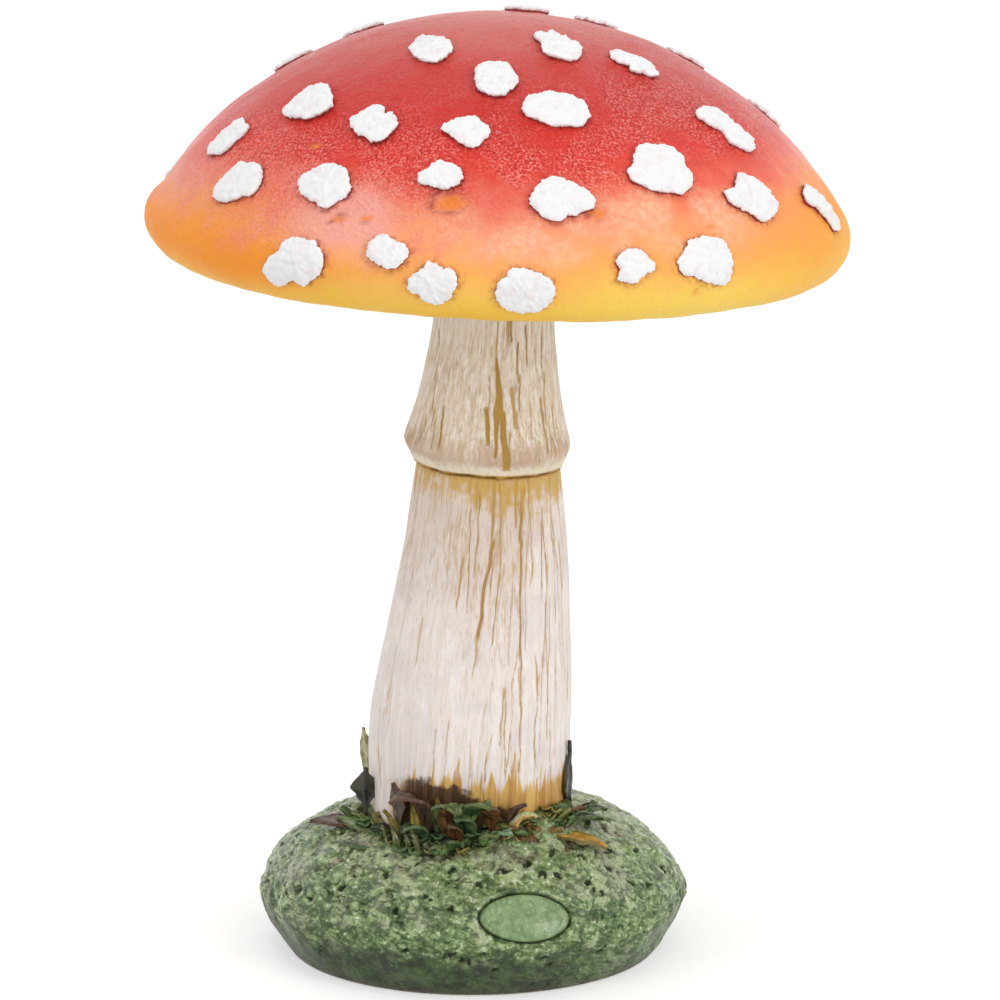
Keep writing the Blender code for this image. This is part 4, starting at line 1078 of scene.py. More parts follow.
top, collar, waist = (0.015, SLEEVE_TOP), (0.015, SLEEVE_FOOT + 0.034), (0.0176, SLEEVE_FOOT + 0.018)
skirt, lip = (0.0208, SLEEVE_FOOT + 0.0052), (0.0187, SLEEVE_FOOT - 0.0007)
under, hem = (0.0179, SLEEVE_FOOT - 0.0007), (0.0161, SLEEVE_FOOT)
outside = [top] + soft_corner(top, collar, waist, 0.006, 6)
outside += soft_corner(collar, waist, skirt, 0.0045, 8)
outside += soft_corner(waist, skirt, lip, 0.0017, 8)
outside += [lip, under]
bore = [hem, (SLEEVE_BORE, 0.150), (SLEEVE_BORE, SLEEVE_TOP), top]
sleeve = spun("painted_skirt", filled(outside, spacing=0.0008) + bore, steps=560)
carve(sleeve, lambda radius, height: radius > 0.0149 and height < 0.1588, SLEEVE_STROKES, False)
for vertex in sleeve.data.vertices:
    radius = math.hypot(vertex.co.x, vertex.co.y)
    bearing = math.atan2(vertex.co.y, vertex.co.x)
    flare = max(0.0, 1 - abs(vertex.co.z - skirt[1]) / 0.011) * (radius > 0.0162)
    wave = noise.noise(Vector((1.6 * math.cos(bearing), 1.6 * math.sin(bearing), 3.0)))
    pinch = noise.noise(Vector((5 * math.cos(bearing), 5 * math.sin(bearing), 8.0)))
    nick = math.exp(-(turn_between(bearing, math.radians(-80)) / 0.05) ** 2)
    left_tip = math.exp(-(turn_between(bearing, math.pi) / 0.6) ** 2)
    out = flare * (0.0005 * wave + 0.0003 * pinch - 0.0002 * nick + 0.0008 * flare * left_tip)
    vertex.co += Vector((math.cos(bearing) * out, math.sin(bearing) * out, 0.0))
    low = max(0.0, 1 - (vertex.co.z - SLEEVE_FOOT) / 0.006) * (radius > 0.0175)
    vertex.co.z += low * (0.0009 + 0.0004 * pinch - 0.0006 * nick)
settle(sleeve, stalk_place)

# %% [markdown]
# The sleeve's paint is greyer and browner than the stem's, with one broad ochre gash in front. The
# edge of the skirt is tinged with brown. Its lip carries a bright cream line, which is partly a
# painted highlight on the lit edge, and under the lip the paint turns a darker ochre as painted
# shade. Bands over the height give these, since the skirt is a ring. Painting single faces would be
# simpler, but the bands would then have steps.

# %% Paint the sleeve
veil_paint = Finish("skirt_paint", {"IOR": 1.42})
in_stalk = veil_paint.place(*stalk_frame)
streaks = veil_paint.place(*stalk_frame, (1, 1, 16))
up = veil_paint.height(in_stalk) * 1000
stroke = veil_paint.attribute("stroke")
veil = veil_paint.grain(streaks, 0.0010, 3.0, 0.6)
cloud = veil_paint.grain(in_stalk, 0.009, 2.0)
hair = veil_paint.grain(streaks, 0.00045, 3.0, 0.65)
beige = veil_paint.blend(veil_paint.rise(veil, 0.36, 0.64), colour(230, 211, 186),
                         colour(250, 240, 228))
greyed = veil_paint.blend(veil_paint.rise(hair + cloud * 0.3, 0.66, 0.82) * 0.55, beige,
                          colour(184, 150, 108))
flare = veil_paint.rise(up, 98.5, 101.0) * (1 - veil_paint.rise(up + veil * 8, 106, 112))
flare = flare * (veil_paint.rise(cloud + veil * 0.3, 0.5, 0.75) * 0.4 + 0.24)
warmed = veil_paint.blend(flare, greyed, colour(190, 150, 116))
scratched = veil_paint.blend(veil_paint.rise(stroke + veil * 0.3, 0.45, 0.90) * 0.9, warmed,
                             colour(196, 156, 92))
deep = veil_paint.blend(veil_paint.rise(stroke, 0.75, 1.0) * 0.8, scratched, colour(182, 142, 50))
# A cream line on the lip that is partly a painted highlight, and painted shade under the lip.
lip_line_highlight = (veil_paint.rise(up + cloud * 0.8, 97.9, 98.3)
               * (1 - veil_paint.rise(up + cloud * 0.8, 99.0, 99.6)))
lined = veil_paint.blend(lip_line_highlight * 0.8, deep, colour(240, 226, 196))
underside_shade = 1 - veil_paint.rise(up + cloud * 0.8, 97.7, 98.1)
veil_paint.feed("Base Color", veil_paint.blend(underside_shade, lined, colour(186, 144, 62)))
veil_paint.feed("Roughness", veil * 0.25 + 0.42)
across = veil_paint.place(*stalk_frame, (3, 3, 1))
veil_paint.relief(hair * 0.6 + veil * 0.2 + veil_paint.grain(across, 0.0010, 3.0) * 0.3, 0.00055)
hand_over(sleeve, veil_paint, ["skirt_sleeve"])

# %% [markdown]
# The mound is a pebble of resin that was pressed into moss while it was soft. Its skin is a smooth
# surface with a known height over every point of the ground, and the moss heaped against the stem
# is part of it. The leaves and the oval pad need that height too, so it gets its own functions. A
# ray cast down on the finished mound could measure it, but only after the mound is made.

# %% The skin of the mound
MOUND_RADIUS = 0.0543
MOUND_DEPTH_RATIO = 0.908
MOUND_WAIST = 0.0135
MOUND_HEIGHT = 0.0358
MOUND_PLATEAU = 0.024
MOUND_FOOT_INSET = 0.0072
UPPER_BULGE = 1.1
LOWER_BULGE = 1.74
SEAT_RADIUS = 0.0255
SEAT_FLOOR = STALK_FOOT[2]
SEAT_SHIFT = 0.0007
BANK_MIDDLE = math.radians(-48.0)
BANK_HALF_TURN = 52.0
BANK_WIDTH = 0.0115
BANK_HEIGHT = 0.0045
# Lumps round the mound, height and spread in metres, turn in degrees.
SWELLS = ((8, 0.0245, 0.005, 40.0), (10, 0.009, 0.005, 0.0))


def swell(bearing, height):
    """How far the low lumps push the mound's side outwards."""
    total = 0.0
    for count, middle, spread, turn in SWELLS:
        phase = count * bearing + math.radians(turn + 35.0 * math.sin(2 * bearing + count))
        total += math.cos(phase) * math.exp(-((height - middle) / spread) ** 2)
    return 0.0009 * total


def bank_rise(x, y):
    """How much the moss is heaped up against the stem over a point of the ground."""
    off = math.degrees(turn_between(math.atan2(y, x), BANK_MIDDLE))
    outside = (math.hypot(x, y) - FOOT_RADIUS) / BANK_WIDTH
    if abs(off) >= BANK_HALF_TURN or outside >= 1.0:
        return 0.0
    slope = math.cos(math.pi / 2 * max(0.0, outside)) ** 2
    return BANK_HEIGHT * slope * math.cos(math.pi / 2 * off / BANK_HALF_TURN) ** 0.7


def mound_height(x, y):
    """The height of the mound's upper side over a point of the ground."""
    radius = math.hypot(x, y / MOUND_DEPTH_RATIO)
    share = max(0.0, (radius - MOUND_PLATEAU) / (MOUND_RADIUS - MOUND_PLATEAU))
    angle = math.acos(min(1.0, share ** (1 / UPPER_BULGE)))
    return (MOUND_WAIST + (MOUND_HEIGHT - MOUND_WAIST) * math.sin(angle) ** UPPER_BULGE
            + bank_rise(x, y))


def mound_side(bearing, height):
    """The point of the mound's upper side at a bearing and a height."""
    share = max(0.0, (height - MOUND_WAIST) / (MOUND_HEIGHT - MOUND_WAIST))
    angle = math.asin(share ** (1 / UPPER_BULGE))
    radius = MOUND_PLATEAU + (MOUND_RADIUS - MOUND_PLATEAU) * math.cos(angle) ** UPPER_BULGE
    radius += swell(bearing, height)
    deep_radius = radius * MOUND_DEPTH_RATIO
    return Vector((radius * math.cos(bearing), deep_radius * math.sin(bearing), height))


print("mound", round(1000 * mound_height(0, 0.03), 1), "mm high at its plateau")

# %% [markdown]
# Close by, the moss is chips a few millimetres wide with cracks between them, crumbs on the chips,
# and small deep pits. Chips come from a cell pattern, because moss breaks in clumps; plain noise
# would look like dough. Blender starts its noise vectors from the clock, so the chips fall a little
# differently each time. The pits that can be told apart in front are listed one by one. The lower
# side was smoothed with a wet thumb, so the moss dies away there, and the oval pad in front lies
# in a bed of its own.

# %% Cracks and pits of the moss
PAD_CENTRE = (math.radians(-74.9), 0.0208)
PAD_HALF_WIDTH = 0.0106
PAD_HALF_HEIGHT = 0.0060
PAD_DROP = 0.0006
# Bearing in degrees, height and radius in millimetres.
PITS = (
    (-112, 22, 1.3), (-108, 13, 1.2), (-96, 12, 1.7), (-92, 10.5, 1.6), (-87, 12.5, 1.2),
    (-84, 8, 1.0), (-68, 8.5, 1.3), (-60, 9.5, 1.3), (-71, 11, 0.9), (-52, 10, 0.9), (-79, 31, 1.2),
    (-70, 31.5, 1.3), (-66, 30, 1.6), (-61, 29, 1.4), (-88, 28.5, 1.2), (-97, 31, 1.0),
    (-52, 27, 1.5), (-36, 24, 1.7), (-41, 28, 1.3), (-29, 22, 1.3), (-24, 18, 1.2), (-33, 31, 1.2),
    (-58, 33, 1.2), (-120, 29, 1.2), (-132, 25, 1.3), (-141, 21, 1.1), (-17, 24, 1.2),
    (-10, 30, 1.0), (-104, 26, 0.9), (-48, 31.5, 1.2),
)


def pad_distance(point):
    """0 in the middle of the oval pad, 1 on its border, more outside."""
    bearing = math.atan2(point.y / MOUND_DEPTH_RATIO, point.x)
    across = turn_between(bearing, PAD_CENTRE[0]) * math.hypot(point.x, point.y)
    rise = point.z - PAD_CENTRE[1] + PAD_DROP * across / PAD_HALF_WIDTH
    return math.hypot(across / PAD_HALF_WIDTH, rise / (0.9 * PAD_HALF_HEIGHT))


def mossiness(point):
    """How far the moss stands out at a point, and how deep it lies in a crack or a pit."""
    smooth = max(0.0, min(1.0, (0.0150 - point.z) / 0.005)) * 0.80
    warped = (point + 0.0013 * noise.noise_vector(point / 0.0042)) / 0.0030
    near, spots = noise.voronoi(warped)
    small = noise.voronoi(warped * 2.3)[0]
    slope = noise.noise_vector(spots[0] * 3.7)
    open_cracks = max(0.0, min(1.0, 0.35 + 2.2 * noise.noise(point / 0.0070)))
    chip = 1 - open_cracks * (1 - min(1.0, 3.0 * (near[1] - near[0])))
    crumb = min(1.0, 2.4 * (small[1] - small[0]))
    lift = 0.00035 * noise.noise(point / 0.017) + 0.00045 * noise.noise(point / 0.0060)
    lift += (1 - smooth) * (0.00040 * (chip - 1) + 0.00016 * (crumb - 0.6))
    lift += (1 - smooth) * (0.0008 * slope.dot(warped - spots[0]) + 0.0004 * slope.x)
    lift += 0.00020 * noise.noise(point / 0.0011) * (1 - 0.6 * smooth)
    high = 0.5 + 500 * (1 - smooth) * slope.dot(warped - spots[0]) * 0.0008 + 0.25 * (crumb - 0.6)
    deep = (1 - smooth) * max(0.0, 0.75 - 1.5 * chip)
    bearing = math.degrees(math.atan2(point.y / MOUND_DEPTH_RATIO, point.x))
    for pit_bearing, pit_height, size in PITS:
        rise = 1000 * point.z - pit_height
        if abs(rise) < 3 and abs(bearing - pit_bearing) < 6:
            across = math.radians(bearing - pit_bearing) * 1000 * math.hypot(point.x, point.y)
            leaning = 0.7 * math.sin(pit_bearing)
            spread = math.hypot(across + leaning * rise, 1.5 * rise) / size
            spread += 0.9 * noise.noise(point / 0.0011)
            lift -= 0.0009 * max(0.0, 1 - spread ** 2)
            deep = max(deep, 1.8 * (1 - spread))
    scattered = noise.voronoi(point / 0.0062)[0][0] + 0.22 * noise.noise(point / 0.0011)
    if scattered < 0.17 and noise.noise(point / 0.013) > -0.1:
        lift -= 0.0007 * (1 - max(0.0, scattered) / 0.17)
        deep = max(deep, 1.4 * (1 - scattered / 0.17))
    return lift, max(0.0, min(1.0, deep)), high


# %% [markdown]
# The mound is spun like the stalk, with a seat for the stem and a blind bore for the dowel. Its
# rings start as circles round the leaning stem and end as the oval of the base, and slow swells
# push its side in and out. Sculpting it from a ball would be closer to the real work, but the seat
# would then be only about as round as the hand that made it.

# %% Spin the mound
UPPER_STEPS = 1200
LOWER_STEPS = 400
MOUND_RINGS = 0.00046


def evenly(points, spacing):
    """Points along an outline, all about the same distance apart."""
    chosen = [points[0]]
    for point in points[1:]:
        if math.dist(point, chosen[-1]) >= spacing:
            chosen.append(point)
    if math.dist(points[-1], chosen[-1]) < spacing / 2:
        chosen.pop()
    return chosen + [points[-1]]


upper = []
for step in range(UPPER_STEPS + 1):
    angle = math.radians(90 - 90 * step / UPPER_STEPS)
    radius = MOUND_PLATEAU + (MOUND_RADIUS - MOUND_PLATEAU) * math.cos(angle) ** UPPER_BULGE
    height = MOUND_WAIST + (MOUND_HEIGHT - MOUND_WAIST) * math.sin(angle) ** UPPER_BULGE
    if radius > SEAT_RADIUS + 0.0003:
        upper.append((radius, height))
lower = []
for step in range(LOWER_STEPS + 1):
    angle = math.radians(90 * step / LOWER_STEPS)
    radius = MOUND_RADIUS - MOUND_FOOT_INSET + MOUND_FOOT_INSET * math.cos(angle) ** LOWER_BULGE
    lower.append((radius, MOUND_WAIST * (1 - math.sin(angle) ** LOWER_BULGE)))
bore_end = SEAT_FLOOR - BORE_DEPTH
seat = [(0.0, bore_end), (BORE_RADIUS, bore_end), (BORE_RADIUS, SEAT_FLOOR),
        (SEAT_RADIUS, SEAT_FLOOR), (SEAT_RADIUS, SEAT_FLOOR + 0.003), (SEAT_RADIUS, MOUND_HEIGHT)]
outline = evenly(upper, MOUND_RINGS) + evenly(lower, MOUND_RINGS)[1:]
mound = spun("mossy_mound", seat + outline + [(0.030, 0.0), (0.0, 0.0)], steps=656)

for vertex in mound.data.vertices:
    radius = math.hypot(vertex.co.x, vertex.co.y)
    height = vertex.co.z
    bearing = math.atan2(vertex.co.y, vertex.co.x)
    if radius < SEAT_RADIUS + 0.0001 and height > 0.01:
        vertex.co = stalk_place @ Vector((vertex.co.x, vertex.co.y, height - SEAT_FLOOR))
        if height > SEAT_FLOOR + 0.004:
            vertex.co.z = mound_height(vertex.co.x, vertex.co.y)
    elif height > MOUND_WAIST:
        share = (radius - SEAT_RADIUS) / (MOUND_RADIUS - SEAT_RADIUS)
        vertex.co.x = math.cos(bearing) * radius - SEAT_SHIFT * (1 - share)
        vertex.co.y = math.sin(bearing) * radius * (1 + (MOUND_DEPTH_RATIO - 1) * share)
        vertex.co.z = mound_height(vertex.co.x, vertex.co.y)
    else:
        vertex.co.y *= MOUND_DEPTH_RATIO
    if radius > SEAT_RADIUS + 0.0001:
        push = 1 + swell(bearing, height) / radius
        vertex.co.x *= push
        vertex.co.y *= push
mound.data.update()
print("mound", len(mound.data.vertices), "points")

# %% [markdown]
# Now every point of the moss is pushed along its normal. The push fades out at the foot and
# against the stem, so that the seams stay closed, and round the oval pad, which lies in an even
# bed with a narrow groove. Behind the leaves the moss is painted dark as shade. How deep a point
# lies, with that painted shade added in, is kept on the mesh for the paint. A Displace modifier can
# push as well, but it can't keep that.

# %% Roughen the mound
SHADED_NOOK_BEARING = math.radians(-108)

for name in ("deep", "high"):
    mound.data.attributes.new(name, "FLOAT", "POINT")
pit_and_shade_layer, high_layer = mound.data.attributes["deep"], mound.data.attributes["high"]
normals = [vertex.normal.copy() for vertex in mound.data.vertices]
for vertex, normal in zip(mound.data.vertices, normals):
    from_stem = math.hypot(vertex.co.x + SEAT_SHIFT, vertex.co.y)
    if vertex.co.z < 0.0002 or from_stem < SEAT_RADIUS + 0.0002:
        continue
    lift, deep, high = mossiness(vertex.co.copy())
    lift *= min(1.0, vertex.co.z / 0.0025) * min(1.0, (from_stem - SEAT_RADIUS) / 0.001)
    border = pad_distance(vertex.co) if vertex.co.y < 0 and vertex.co.z > MOUND_WAIST - 0.002 else 9.0
    if border < 1.6:
        calm = min(1.0, max(0.0, (border - 1.03) / 0.4))
        lift = lift * calm + 0.0003 * math.exp(-((border - 1.16) / 0.08) ** 2)
        deep = deep * calm
        lift -= 0.0014 * max(0.0, min(1.0, (1.07 - border) / 0.05))
        deep = max(deep, min(1.0, max(0.0, (1.08 - border) / 0.05)))
    # Painted shade: the moss in the nook behind the leaves is marked as dark as a pit.
    nook = turn_between(math.atan2(vertex.co.y, vertex.co.x), SHADED_NOOK_BEARING)
    under = 1.3 - abs(nook) / 0.50 - max(0.0, from_stem - SEAT_RADIUS) / 0.0095
    deep = max(deep, min(1.0, 1.6 * (under + 0.5 * noise.noise(vertex.co / 0.0022))))
    vertex.co += normal * lift
    pit_and_shade_layer.data[vertex.index].value = deep
    high_layer.data[vertex.index].value = high
print("points in cracks and pits:", sum(item.value > 0.5 for item in pit_and_shade_layer.data))

# %% [markdown]
# Moss green is several paints over each other: the green itself, pale greens dry-brushed over the
# chips, near-white specks on the high chips that are painted glints, soil colour near the stem, a
# darker green low down that is partly painted shade and fades on the lit right, and near-black in
# the pits, which is also painted shade in the nook behind the leaves. The greens and their
# dry-brush are also painted paler towards the top and the right, as painted light. At the very
# foot the bare resin shows. Each is a blend over the one before. The varnish on top is a coat with
# its own low roughness, so that it glints on every crumb; it is thinner low down, and there is
# none in the pits.

# %% Paint the mound
moss = Finish("moss_paint", {"IOR": 1.5, "Specular IOR Level": 0.3, "Coat Roughness": 0.14})
ground = moss.place()
deep = moss.attribute("deep")
high = moss.attribute("high")
up = moss.height(ground) * 1000
flaky = moss.place((0, 0, 0), math.radians(18), (1.7, 1.7, 0.8))
mottle = moss.grain(flaky, 0.0019, 4.0, 0.62, 0.8)
patch = moss.grain(ground, 0.010, 3.0)
blot = moss.grain(ground, 0.0042, 3.0, 0.6)
relief_share = mottle * 0.5 + high * 0.3 + blot * 0.2
rightwards = moss.height(ground, "X") * 1000
# Painted light: the greens and their dry-brush turn paler towards the top and towards the right.
lit = moss.rise(up, 18, 32) * 0.035 + moss.rise(rightwards, -30, 20) * 0.018 + 0.006
green = moss.blend(moss.rise(relief_share + lit, 0.41, 0.60), colour(60, 86, 40), colour(148, 174, 110))
brushed = moss.blend(moss.rise(relief_share + patch * 0.34 - 0.07 + lit, 0.61, 0.72) * 0.80, green,
                     colour(200, 218, 162))
# Painted glints: near-white specks on the high chips.
glint_grain = moss.grain(ground, 0.0011, 3.0, 0.6)
brushed = moss.blend(moss.rise(glint_grain, 0.56, 0.64) * moss.rise(relief_share + lit, 0.47, 0.60), brushed,
                     colour(237, 244, 216))
grey = moss.blend(moss.rise(patch, 0.54, 0.64) * 0.32, brushed, colour(150, 146, 128))
soil_share = moss.rise(up / 60 + moss.grain(ground, 0.0052, 3.0), 1.07, 1.17) * 0.65
soil = moss.blend(moss.rise(mottle, 0.4, 0.6), colour(84, 66, 54), colour(158, 142, 126))
soiled = moss.blend(soil_share, grey, soil)
# Painted shade: the green is darker low down, and less so on the lit right.
lit_side = moss.rise(rightwards, 8, 36)
dark_green = moss.blend(moss.rise(blot, 0.42, 0.58), colour(36, 48, 26), colour(64, 88, 42))
shade_darkened_low = moss.blend((1 - moss.rise(up + blot * 12, 14.0, 22.0)) * (0.88 - lit_side * 0.45), soiled,
                     dark_green)
rust = moss.blend((1 - moss.rise(up + patch * 8, 4.5, 8.0)) * 0.55, shade_darkened_low, colour(70, 56, 42))
# Near-black in the pits and cracks, and painted shade in the nook behind the leaves.
darkened = moss.blend(moss.rise(deep + blot * 0.3, 0.32, 1.1) * 0.92, rust, colour(30, 34, 24))
bare = 1 - moss.rise(up + glint_grain, 0.6, 1.0)
moss.feed("Base Color", moss.blend(bare, darkened, colour(172, 162, 142)))
moss.feed("Coat Weight", (1 - moss.rise(deep, 0.05, 0.5)) * (moss.rise(up, 10, 24) * 0.65 + 0.2))
moss.feed("Roughness", mottle * 0.3 + 0.30)
lumps = moss.cells(flaky, 0.0042, "SMOOTH_F1") * 0.5 + moss.grain(ground, 0.0026, 3.0) * 0.6
moss.relief(moss.grain(ground, 0.0010, 4.0, 0.65) * 0.6 + lumps * 0.7, 0.0019)
hand_over(mound, moss, ["mound"])

# %% [markdown]
# The oval pad is a small smooth field in the front of the mound, with a low raised rim and a
# narrow groove round it. It could be pressed into the mound's own skin, but the points there are
# too far apart for such a clean edge. So it is a disc of its own, made like the blank of a wart
# and laid on the mound's skin.

# %% Lay the oval pad on the mound
PAD_ROOT = -0.0018
PAD_LIFT = 0.0003

pad = stepped_disc("oval_pad", segments=128, steps=1, rings=14, inset=0.065)
bpy.ops.object.shade_smooth()
for vertex in pad.data.vertices:
    spread = min(1.0, math.hypot(vertex.co.x, vertex.co.y))
    height = PAD_CENTRE[1] + vertex.co.y * 0.9 * PAD_HALF_HEIGHT - vertex.co.x * PAD_DROP
    near = mound_side(PAD_CENTRE[0], height)
    bearing = PAD_CENTRE[0] + vertex.co.x * PAD_HALF_WIDTH / math.hypot(near.x, near.y)
    point = mound_side(bearing, height)
    beside = mound_side(bearing + 0.01, height) - mound_side(bearing - 0.01, height)
    above = mound_side(bearing, height + 0.0005) - mound_side(bearing, height - 0.0005)
    outward = beside.cross(above).normalized()
    lift = PAD_ROOT
    if vertex.co.z > 0.5:
        lift = PAD_LIFT - 0.0011 * spread ** 22 + 0.00005 * noise.noise(point / 0.003)
        lift -= 0.0002 * max(0.0, min(1.0, (0.86 - spread) / 0.08))
    vertex.co = point + outward * lift
print("pad of", len(pad.data.vertices), "points")

# %% [markdown]
# The pad is painted with the greens of the moss, but flat and only a little worn, and its varnish
# lies smooth. The paint of the moss itself would be less work, but it brings relief and dark pits
# wherever it goes, so the pad gets a plain one.

# %% Paint the oval pad
glaze = Finish("pad_paint", {"IOR": 1.5, "Coat Weight": 0.6, "Coat Roughness": 0.12})
ground = glaze.place()
mottle = glaze.grain(ground, 0.0022, 4.0, 0.6)
flat_green = glaze.blend(glaze.rise(mottle, 0.35, 0.65), colour(98, 130, 76), colour(138, 162, 110))
worn = glaze.grain(ground, 0.0009, 3.0, 0.6)
flat_green = glaze.blend(glaze.rise(worn, 0.56, 0.70) * 0.6, flat_green, colour(186, 202, 164))
glaze.feed("Base Color", flat_green)
glaze.feed("Roughness", mottle * 0.2 + 0.28)
glaze.relief(glaze.grain(ground, 0.0012, 3.0, 0.5), 0.00012)
hand_over(pad, glaze, [])

# %% [markdown]
# The foliage was cut from thin resin sheet, bent while warm and glued in front of the stem. A
# leaf is told by where its root stands round the stem, how far out, how it is turned, its length
# and width, its rise from the ground, its curl, where it is widest, and its colour. Modelling each
# by hand would be slower, and a leaf that is only numbers can still be nudged among the others.
# The first twelve have solids in the frame, and the rest are small trimmings among them.

# %% Leaf shapes
# Bearing, distance from the stem, turn, length, width, rise, curl, widest share, and colour.
# Angles are in degrees and lengths in metres.
LEAVES = {
    "pale_blade": (168, 0.0004, 75, 0.0225, 0.0036, 84, 8, 0.66, "pale"),
    "dark_rhomb": (198, 0.0021, 72, 0.0152, 0.0070, 90, 0, 0.66, "dark"),
    "curled_brown_leaf": (-113, 0.0008, -42, 0.0205, 0.0096, 92, 138, 0.56, "brown"),
    "arched_green_leaf": (-107, 0.0014, 44, 0.0200, 0.0058, 88, 135, 0.60, "green"),
    "broad_green_leaf": (-92, 0.0010, 42, 0.0170, 0.0084, 84, 110, 0.62, "green"),
    "dark_oval_leaf": (-97, 0.0060, 24, 0.0100, 0.0068, 62, 80, 0.50, "deep_green"),
    "turquoise_leaf": (-79, 0.0032, 30, 0.0090, 0.0052, 46, 66, 0.55, "turquoise"),
    "ribbed_cream_leaf": (-69, 0.0014, 40, 0.0110, 0.0064, 66, 110, 0.50, "cream"),
    "dark_blade": (-17, 0.0003, 0, 0.0185, 0.0058, 88, -2, 0.42, "dark"),
    "left_grass_blade": (-123, 0.0076, 8, 0.0092, 0.0017, 84, 40, 0.35, "grass"),
    "right_grass_blade": (-113, 0.0070, -6, 0.0086, 0.0016, 80, 50, 0.35, "grass"),
    "ochre_leaf": (-48, 0.0052, 46, 0.0145, 0.0074, -6, 20, 0.50, "ochre"),
}
TRIMMINGS = {
    "rust_leaf": (-101, 0.0026, 8, 0.0150, 0.0050, 80, 46, 0.60, "rust"),
    "low_rust_leaf": (-95, 0.0040, -14, 0.0120, 0.0042, 68, 60, 0.55, "rust"),
    "olive_blade": (-117, 0.0036, 10, 0.0125, 0.0030, 86, 36, 0.45, "olive"),
    "left_olive_blade": (-127, 0.0046, -12, 0.0115, 0.0028, 82, 44, 0.45, "olive"),
    "tall_olive_blade": (-107, 0.0008, -6, 0.0125, 0.0030, 90, 10, 0.45, "olive"),
    "second_tall_blade": (-113, 0.0007, 8, 0.0115, 0.0028, 90, 12, 0.45, "rust"),
    "brown_tip": (-132, 0.0010, -10, 0.0150, 0.0050, 90, 20, 0.60, "brown"),
    "green_arch": (-99, 0.0012, 20, 0.0190, 0.0050, 88, 120, 0.55, "green"),
    "dark_arch": (-111, 0.0050, -16, 0.0150, 0.0048, 78, 120, 0.55, "deep_green"),
    "little_green_leaf": (-84, 0.0052, 24, 0.0100, 0.0050, 60, 70, 0.55, "green"),
    "low_green_leaf": (-104, 0.0070, 20, 0.0090, 0.0044, 56, 60, 0.55, "green"),
    "dark_foot_leaf": (-90, 0.0030, -24, 0.0130, 0.0060, 74, 80, 0.55, "deep_green"),
    "rust_foot_leaf": (-78, 0.0012, -20, 0.0120, 0.0046, 76, 70, 0.55, "rust"),
    "thin_brown_leaf": (-70, 0.0009, 30, 0.0110, 0.0040, 70, 60, 0.55, "brown"),
    "third_grass_blade": (-131, 0.0060, -10, 0.0064, 0.0012, 84, 30, 0.40, "grass"),
    "fourth_grass_blade": (-118, 0.0064, 12, 0.0070, 0.0012, 76, 50, 0.40, "grass"),
    "fifth_grass_blade": (-107, 0.0070, -8, 0.0066, 0.0012, 70, 60, 0.40, "grass"),
    "flat_left_leaf": (-133, 0.0022, -92, 0.0225, 0.0075, 8, 14, 0.45, "green"),
    "flat_back_leaf": (-160, 0.0030, -30, 0.0140, 0.0080, 10, 22, 0.50, "brown"),
    "low_left_leaf": (-128, 0.0075, -84, 0.0170, 0.0055, 6, 24, 0.45, "deep_green"),
    "moss_frond": (-38, 0.0020, 40, 0.0120, 0.0046, 8, 26, 0.50, "deep_green"),
    "second_moss_frond": (-30, 0.0030, 28, 0.0110, 0.0042, 6, 26, 0.50, "green"),
    "third_moss_frond": (-24, 0.0018, 50, 0.0110, 0.0040, 8, 30, 0.50, "deep_green"),
    "dark_red_rim": (-52, 0.0006, 78, 0.0150, 0.0022, 10, 10, 0.50, "rust"),
    "orange_foot": (-68, 0.0036, 40, 0.0075, 0.0036, 12, 30, 0.50, "rust"),
}
FOLIAGE = {**LEAVES, **TRIMMINGS}
print(len(FOLIAGE), "leaves, the longest", 1000 * max(shape[3] for shape in LEAVES.values()), "mm")

# %% [markdown]
# Each leaf starts as a flat grid. One function bends its midrib into a curl, gives it a width that
# swells and tapers, cups its edges and presses in the veins; Solidify then makes it a thin sheet.
# A bevelled curve bends more easily, but it can't be cupped or veined.

# %% Bend the leaves
SPINE_STEPS = 80
SHEET = 0.0008
ROOT_DEPTH = 0.0018
STEM_AXIS = -0.00066


def thicken(piece, thickness, offset):
    """Turn a bent surface into a thin sheet; the offset tells to which side it grows."""
    sheet = piece.modifiers.new("sheet", "SOLIDIFY")
    sheet.thickness = thickness
    sheet.offset = offset
    bpy.ops.object.modifier_apply(modifier="sheet")


